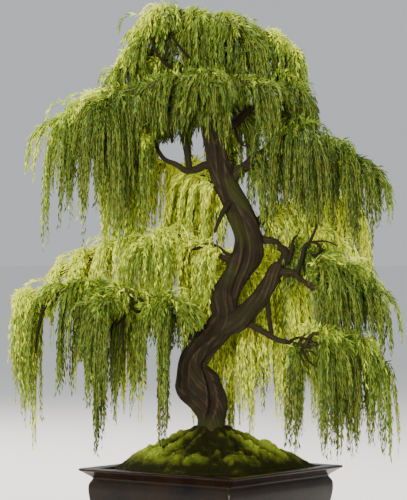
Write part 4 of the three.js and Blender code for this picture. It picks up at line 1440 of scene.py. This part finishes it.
POT_HEIGHT = 0.100
POT_TURN = math.radians(8)
POT_INNER_FLOOR = 0.014
LIP_INNER = 0.120
INNER_FLOOR_HALF = 0.110
QUARTER = math.pi / 2
CORNER_POINTS = 7
SQUARE_POINTS = 4 * CORNER_POINTS
LARGEST_CORNER = 0.9


def square_ring(half, corner):
    """The outline of a square with rounded corners, one corner facing the front, as x and y."""
    radius = min(corner, half * LARGEST_CORNER)
    middle = half - radius
    points = []
    for number in range(4):
        start = number * QUARTER
        angles = np.linspace(start, start + QUARTER, CORNER_POINTS)
        towards = start + QUARTER / 2
        centre = middle * math.sqrt(2) * np.array((math.cos(towards), math.sin(towards)))
        points.append(centre + radius * np.stack((np.cos(angles), np.sin(angles)), axis=1))
    outline = np.vstack(points)
    turn = POT_TURN + QUARTER / 2
    cos, sin = math.cos(turn), math.sin(turn)
    return outline @ np.array(((cos, sin), (-sin, cos)))


def inner_half(height):
    """Half the width of the pot's inside at a height."""
    share = (height - POT_INNER_FLOOR) / (POT_HEIGHT - POT_INNER_FLOOR)
    return INNER_FLOOR_HALF + (LIP_INNER - INNER_FLOOR_HALF) * share


def square_solid(profile, corner):
    """A square body from a profile of half-widths and heights: its points, and its quads and end faces."""
    rings = [np.column_stack((square_ring(half, corner), np.full(SQUARE_POINTS, height)))
             for half, height in profile]
    points = np.vstack((*rings, ((0, 0, profile[0][1]),), ((0, 0, profile[-1][1]),)))
    quads, caps = tube_faces(len(rings), len(rings[0]))
    return points, [quads, caps]


class WILLOW_OT_pot(bpy.types.Operator):
    """Make the square glazed pot with its foot, belly, neck and flared lip"""

    bl_idname = "willow.pot"
    bl_label = "Pot"
    profile = (
        (0.1060, 0.0000), (0.1075, 0.0005), (0.1080, 0.0020), (0.1080, 0.0070), (0.1090, 0.0085),
        (0.1130, 0.0092), (0.1160, 0.0105), (0.1180, 0.0130), (0.1222, 0.0210), (0.1258, 0.0300),
        (0.1284, 0.0390), (0.1304, 0.0480), (0.1318, 0.0560), (0.1328, 0.0640), (0.1330, 0.0700),
        (0.1326, 0.0750), (0.1314, 0.0790), (0.1296, 0.0820), (0.1282, 0.0840), (0.1281, 0.0855),
        (0.1290, 0.0868), (0.1312, 0.0885), (0.1345, 0.0910), (0.1380, 0.0938), (0.1412, 0.0958),
        (0.1428, 0.0966), (0.1434, 0.0974), (0.1435, 0.0986), (0.1432, 0.0994), (0.1424, 0.1000),
        (0.1320, 0.0998), (0.1214, 0.0998), (0.1204, 0.0996), (0.1199, 0.0988), (0.1196, 0.0960),
        (0.1190, 0.0900), (0.1145, 0.0500), (0.1102, 0.0160), (0.1090, 0.0140),
    )
    lip_from = 0.0845
    # The first row of the profile that is inside the pot, under the lip
    lip_rows_end = 34

    def execute(self, context):
        look = context.scene.willow_pot
        points, faces = square_solid(self.profile, look.corner)
        body = mottled_material("body_glaze", look.body, look.body_brown, cloud=14, speck=160, bump=0.12,
                                bump_size=0.001, roughness=0.33, specular_ior_level=0.16)
        lip = mottled_material("lip_glaze", look.lip, look.lip_worn, cloud=22, speck=240, bump=0.15,
                               bump_size=0.001, roughness=0.26, specular_ior_level=0.18)
        heights = np.array([height for _, height in self.profile])
        on_lip = (heights[:-1] >= self.lip_from) & (np.arange(len(heights) - 1) < self.lip_rows_end)
        kinds = np.concatenate((np.zeros(2 * SQUARE_POINTS), np.repeat(on_lip, SQUARE_POINTS)))
        piece = make_piece("pot_glazed", points, [faces[1], faces[0]], (body, lip), kinds)
        place(piece, "pot_clay", "pot")
        return {"FINISHED"}


MOSS_FLOOR = 0.0966
MOSS_HALF_WIDTH, MOSS_HALF_DEPTH = 0.150, 0.118
MOSS_RISE, MOSS_EDGE_RISE, MOSS_TO_LIP = 0.057, 0.004, 0.004
MOSS_SINK = 0.006
MOSS_COLLAR = 0.012
MOSS_COLLAR_FROM, MOSS_COLLAR_WIDTH = 0.16, 0.07
MOSS_BELL = (1.6, 1.3)
# Waves of the moss's outline: how deep, how many go round, and their phase
MOSS_WAVES = ((0.035, 5, 1), (0.025, 9, 0))


class Root(NamedTuple):
    """A root ridge under the moss: its heading at the trunk, how far it turns, its rise, width and reach."""

    heading: float
    turn: float
    rise: float
    width: float
    reach: float


ROOTS = (
    Root(196, -10, 0.014, 0.0090, 0.92),
    Root(222, -16, 0.013, 0.0085, 0.88),
    Root(250, -22, 0.010, 0.0080, 0.66),
    Root(292, 16, 0.010, 0.0080, 0.64),
    Root(322, 14, 0.013, 0.0085, 0.86),
    Root(348, 10, 0.014, 0.0090, 0.95),
    Root(18, 12, 0.010, 0.0090, 0.88),
    Root(52, 18, 0.009, 0.0085, 0.80),
    Root(92, -14, 0.010, 0.0090, 0.85),
    Root(128, 16, 0.010, 0.0085, 0.82),
    Root(162, -12, 0.010, 0.0090, 0.90),
)


class Cushions(NamedTuple):
    """Rounded cushions of one size on the moss: how many, the least square of their share of its reach, their
    radius, how much they swell towards the rim, and their rise as a share of the radius."""

    count: int
    inner: float
    radius: tuple
    swell: float
    rise: tuple


ROOT_FROM = (0.10, 0.22)
ROOT_TAPER = 3
CUSHION_FADE = 0.30
CUSHIONS = (
    Cushions(74, 0.30, (0.007, 0.012), 0.014, (0.34, 0.56)),
    Cushions(320, 0.08, (0.0032, 0.0062), 0.0, (0.40, 0.65)),
)


def moss_reach(angle):
    """How far the moss spreads at an angle: an oval kept inside the pot's lip."""
    oval = 1 / np.hypot(np.cos(angle) / MOSS_HALF_WIDTH, np.sin(angle) / MOSS_HALF_DEPTH)
    wavy = oval * (1 + sum(share * np.sin(count * angle + phase) for share, count, phase in MOSS_WAVES))
    to_flat = (angle - POT_TURN) % QUARTER - QUARTER / 2
    return np.minimum(wavy, (inner_half(SOIL_TOP) - MOSS_TO_LIP) / np.cos(to_flat))


def moss_height(share, angle, x, y, cushions):
    """Height of the moss over its floor, a bell with root ridges under it and rounded cushions on it, and how
    much of the height is ridges and cushions."""
    bell = np.clip(1 - share ** MOSS_BELL[0], 0, None) ** MOSS_BELL[1]
    ridge = np.zeros_like(x)
    away = np.hypot(x, y)
    for root in ROOTS:
        aside = np.radians(angle_between(np.degrees(angle), root.heading + root.turn * share)) * away
        along = np.clip(1 - (share / root.reach) ** ROOT_TAPER, 0, None) * fade_in(share, *ROOT_FROM)
        ridge = np.maximum(ridge, root.rise * along * np.exp(-((aside / root.width) ** 2)))
    relief = ridge
    for group in cushions:
        pillow = np.zeros_like(x)
        for centre_x, centre_y, radius, rise in group:
            nearness = 1 - ((x - centre_x) ** 2 + (y - centre_y) ** 2) / radius**2
            pillow = np.maximum(pillow, rise * np.sqrt(np.clip(nearness, 0, None)))
        relief = relief + pillow * fade_out(share, 1, CUSHION_FADE)
    past = np.clip(share - MOSS_COLLAR_FROM, 0, None) / MOSS_COLLAR_WIDTH
    collar = MOSS_COLLAR * np.exp(-(past**2))
    return MOSS_EDGE_RISE + (MOSS_RISE - MOSS_SINK) * bell + collar + relief, relief


class WILLOW_OT_moss(bpy.types.Operator):
    """Lay the moss mound with its root ridges, its cushions and its short tufts"""

    bl_idname = "willow.moss"
    bl_label = "Moss"
    rings = 90
    sectors = 360
    seed = 401
    cushions_to = 0.98
    swell_from = (0.6, 0.3)
    # Painted light on the moss: where it fades in at the sides, towards the back and away from the trunk, the
    # relief that gets it in full, how strong it is on the relief, at the sides and at the back, how much of
    # it stays near the trunk and is added away from it, and the painted shade taken off everywhere
    sides_from, back_from, away_from = (0.045, 0.09), (-0.01, 0.06), (0.030, 0.060)
    full_relief = 0.010
    relief_light, side_light, back_light = 0.95, 0.12, 0.4
    near_light, away_light = 0.55, 0.45
    shade = 0.22
    tufts = 42000
    tuft_places = (0.06, 0.99)
    tuft_length = (0.0010, 0.0028)
    tuft_width = 0.0006
    tuft_sink = 0.0006
    tuft_lean, tuft_scatter = 0.35, 0.35
    # Greens of the tufts, dealt by painted light from the deepest shade to sunlit, and how far each is from
    # the dark towards the light colour of the moss
    greens = (("moss_deep", 0.05), ("moss_green", 0.28), ("moss_bright", 0.9), ("moss_sunlit", 3.8))
    green_scores = (0.30, 0.56, 0.80)
    green_chance = 0.14

    def execute(self, context):
        look = context.scene.willow_ground
        self.random = np.random.default_rng(self.seed)
        self.pillows = [self.plan_cushions(size) for size in CUSHIONS]
        share, angle = np.meshgrid(np.linspace(0, 1, self.rings + 1)[1:],
                                   np.linspace(0, TURN, self.sectors, endpoint=False), indexing="ij")
        top, relief = self.surface(share, angle)
        rim = top[-1] * (1, 1, 0) + UP * MOSS_FLOOR
        # The moss's painted light, held on the mesh: paler on ridges and cushions, at the sides and towards
        # the back, darker in the hollows and near the trunk
        crest = np.concatenate((self.light_share(top, relief).ravel(), np.zeros(self.sectors + 2)))
        points = np.vstack((top.reshape(-1, 3), rim, top[0].mean(axis=0), UP * MOSS_FLOOR))
        quads, caps = tube_faces(self.rings + 1, self.sectors)
        material = mottled_material("cushion_moss", look.moss_dark, look.moss_light, cloud=55, speck=900,
                                    bump=0.9, bump_size=0.0015, roughness=0.95, specular_ior_level=0.1)
        # The mottle shifts to the light colour where the moss is painted light and to the dark colour where
        # it is painted shade
        shift_by_highlight(material, low=-0.27, high=0.32)
        piece = make_piece("moss_cushions", points, [caps[:, ::-1], quads[:, ::-1]], (material,),
                           values={"crest": crest})
        place(piece, "moss", "moss_mound")
        self.add_tufts(look)
        return {"FINISHED"}

    def plan_cushions(self, size):
        """Centres, radii and rises of the rounded cushions of one size."""
        share = np.sqrt(self.random.uniform(size.inner, self.cushions_to, size.count))
        angle = self.random.uniform(0, TURN, size.count)
        reach = share * moss_reach(angle)
        swell = size.swell * fade_in(share, *self.swell_from)
        radius = self.random.uniform(*size.radius, size.count) + swell
        rise = radius * self.random.uniform(*size.rise, size.count)
        return np.stack((reach * np.cos(angle), reach * np.sin(angle), radius, rise), axis=1)

    def surface(self, share, angle):
        """Points of the moss at shares of its reach and angles round the trunk, and the relief there."""
        reach = share * moss_reach(angle)
        x, y = reach * np.cos(angle), reach * np.sin(angle)
        height, relief = moss_height(share, angle, x, y, self.pillows)
        return np.stack((x, y, MOSS_FLOOR + height), axis=-1), relief

    def light_share(self, points, relief):
        """How much painted light the moss gets: highlights on its ridges and cushions, at the sides and
        towards the back, less of it near the trunk, and painted shade taken off everywhere.
        """
        x, y, _ = np.moveaxis(points, -1, 0)
        sides = fade_in(np.abs(x), *self.sides_from)
        back = fade_in(y, *self.back_from)
        away = fade_in(np.hypot(x, y), *self.away_from)
        light = self.relief_light * relief / self.full_relief
        light = light + self.side_light * sides + self.back_light * back
        return np.clip(light * (self.near_light + self.away_light * away) - self.shade, 0, 1)

    def add_tufts(self, look):
        """Short blades all over the moss, in its greens, dealt by painted light and chance."""
        share = np.sqrt(self.random.uniform(*self.tuft_places, self.tufts))
        angle = self.random.uniform(0, TURN, self.tufts)
        root, relief = self.surface(share, angle)
        root -= UP * self.tuft_sink
        lean = self.tuft_lean * level(np.degrees(angle))
        heading = unit(UP + lean + self.random.normal(0, self.tuft_scatter, (self.tufts, 3)))
        flat = unit(np.cross(heading, unit(self.random.normal(size=(self.tufts, 3)))))
        length = self.random.uniform(*self.tuft_length, self.tufts)[:, None]
        half = flat * self.tuft_width / 2
        corners = np.stack((root - half, root + half, root + heading * length), axis=1)
        dark, light = np.array(look.moss_dark), np.array(look.moss_light)
        materials = [new_material(name, base_color=opaque(dark + (light - dark) * part), roughness=0.9,
                                  specular_ior_level=0.1)[0]
                     for name, part in self.greens]
        faces = np.arange(3 * self.tufts).reshape(-1, 3)
        lit = self.light_share(root, relief) + self.random.normal(0, self.green_chance, self.tufts)
        kinds = np.searchsorted(self.green_scores, lit)
        piece = make_piece("moss_tufts", corners.reshape(-1, 3), [faces], materials, kinds, smooth=False)
        place(piece, "moss", "moss_mound")


class WILLOW_OT_soil(bpy.types.Operator):
    """Fill the pot with crumbly soil"""

    bl_idname = "willow.soil"
    bl_label = "Soil"
    rings = 60
    seed = 501
    gap = 0.0003
    corner = 0.005
    innermost = 0.02
    still_rings = 3
    crumb_heights = (-0.0012, 0.0004)

    def execute(self, context):
        look = context.scene.willow_ground
        random = np.random.default_rng(self.seed)
        floor = POT_INNER_FLOOR + self.gap
        edge = inner_half(SOIL_TOP) - self.gap
        profile = [(inner_half(floor) - self.gap, floor), (edge, SOIL_TOP)]
        profile += [(edge * share, SOIL_TOP) for share in np.linspace(1, self.innermost, self.rings)[1:]]
        points, faces = square_solid(profile, self.corner)
        inside = np.arange(len(points)) >= self.still_rings * SQUARE_POINTS
        crumbs = random.uniform(*self.crumb_heights, len(points)) * inside
        # The last point but one is the middle of the soil's underside, which stays flat
        crumbs[-2] = 0
        points[:, 2] += crumbs
        material = mottled_material("crumbled_soil", look.soil_dark, look.soil_light, cloud=120, speck=700,
                                    bump=0.8, bump_size=0.002, roughness=0.98)
        piece = make_piece("soil_fill", points, faces, (material,), smooth=False)
        place(piece, "soil", "soil")
        return {"FINISHED"}


class Light(NamedTuple):
    """A soft round light: where it hangs, what it aims at, how wide it is, its colour, and its spread in
    degrees."""

    name: str
    place: tuple
    aim: tuple
    size: float
    colour: tuple
    spread: float = 180


class WILLOW_OT_stage(bpy.types.Operator):
    """Set the camera, the pale floor, the background and the soft lights"""

    bl_idname = "willow.stage"
    bl_label = "Stage"
    camera_place = (-0.012, -3.6, 0.425)
    camera_lens = 172.8
    camera_sensor = 36.0
    floor_radius = 60.0
    floor_sides = 96
    lights = (
        Light("key", (-1.5, 1.7, 1.55), (0.0, 0.0, 0.45), 1.5, (1.0, 0.93, 0.80)),
        Light("top", (0.5, 0.7, 2.2), (0.0, 0.0, 0.5), 1.6, (1.0, 0.97, 0.92)),
        Light("fill", (-1.45, -5.8, 1.40), (0.0, 0.0, 0.35), 1.8, (0.96, 0.98, 1.0), spread=100),
    )

    def execute(self, context):
        look = context.scene.willow_stage
        self.add_camera(context)
        self.add_floor(look)
        self.add_sky(context, look)
        for light in self.lights:
            self.add_light(context, light, getattr(look, light.name + "_power"))
        return {"FINISHED"}

    def add_camera(self, context):
        """A level camera in front of the tree."""
        data = bpy.data.cameras.new("front_camera")
        data.lens = self.camera_lens
        data.sensor_width = self.camera_sensor
        camera = bpy.data.objects.new("front_camera", data)
        camera.location = self.camera_place
        camera.rotation_euler = (math.pi / 2, 0, 0)
        context.scene.collection.objects.link(camera)
        context.scene.camera = camera

    def add_floor(self, look):
        """A wide round floor under the pot."""
        sides = self.floor_sides
        angles = np.linspace(0, TURN, sides, endpoint=False)
        rim = self.floor_radius * level(np.degrees(angles))
        points = np.vstack((rim, np.zeros((1, 3))))
        around = np.arange(sides)
        faces = np.stack((around, (around + 1) % sides, np.full(sides, sides)), axis=1)
        material = new_material("floor", base_color=opaque(look.floor), roughness=0.6)[0]
        make_piece("floor", points, [faces], (material,), smooth=False)

    def add_sky(self, context, look):
        """An even background that lights the tree from all sides."""
        world = bpy.data.worlds.new("studio")
        context.scene.world = world
        world.use_nodes = True
        background = world.node_tree.nodes["Background"]
        background.inputs["Color"].default_value = opaque(look.sky)
        background.inputs["Strength"].default_value = look.sky_strength

    def add_light(self, context, light, power):
        """One of the lights, hidden from the camera and turned to what it aims at."""
        data = bpy.data.lights.new(light.name + "_light", "AREA")
        data.spread = math.radians(light.spread)
        data.shape = "DISK"
        data.size = light.size
        data.energy = power
        data.color = light.colour
        lamp = bpy.data.objects.new(light.name + "_light", data)
        lamp.location = light.place
        lamp.visible_camera = False
        towards = lamp.location.copy()
        towards[:] = np.array(light.aim) - np.array(light.place)
        lamp.rotation_euler = towards.to_track_quat("-Z", "Y").to_euler()
        context.scene.collection.objects.link(lamp)


OPERATORS = (
    WILLOW_OT_stage, WILLOW_OT_pot, WILLOW_OT_soil, WILLOW_OT_moss, WILLOW_OT_trunk, WILLOW_OT_boughs,
    WILLOW_OT_foliage,
)
LOOKS = {
    "willow_bark": BarkLook, "willow_leaf": LeafLook, "willow_ground": GroundLook, "willow_pot": PotLook,
    "willow_stage": StageLook,
}


class WILLOW_PT_panel(bpy.types.Panel):
    """The willow's pieces, in the order in which they are made"""

    bl_idname = "WILLOW_PT_panel"
    bl_label = "Weeping Willow"
    bl_space_type = "VIEW_3D"
    bl_region_type = "UI"
    bl_category = "Willow"

    def draw(self, context):
        for operator in OPERATORS:
            self.layout.operator(operator.bl_idname)
        for key, look in LOOKS.items():
            box = self.layout.box()
            for prop in look.__annotations__:
                box.prop(getattr(context.scene, key), prop)


def register():
    for cls in (*LOOKS.values(), *OPERATORS, WILLOW_PT_panel):
        bpy.utils.register_class(cls)
    for key, look in LOOKS.items():
        setattr(bpy.types.Scene, key, PointerProperty(type=look))


def unregister():
    for key in LOOKS:
        delattr(bpy.types.Scene, key)
    for cls in reversed((*LOOKS.values(), *OPERATORS, WILLOW_PT_panel)):
        bpy.utils.unregister_class(cls)


def main():
    register()
    bpy.ops.willow.stage()
    bpy.ops.willow.pot()
    bpy.ops.willow.soil()
    bpy.ops.willow.moss()
    bpy.ops.willow.trunk()
    bpy.ops.willow.boughs()
    bpy.ops.willow.foliage()
    bpy.context.view_layer.update()


if __name__ == "__main__":
    main()
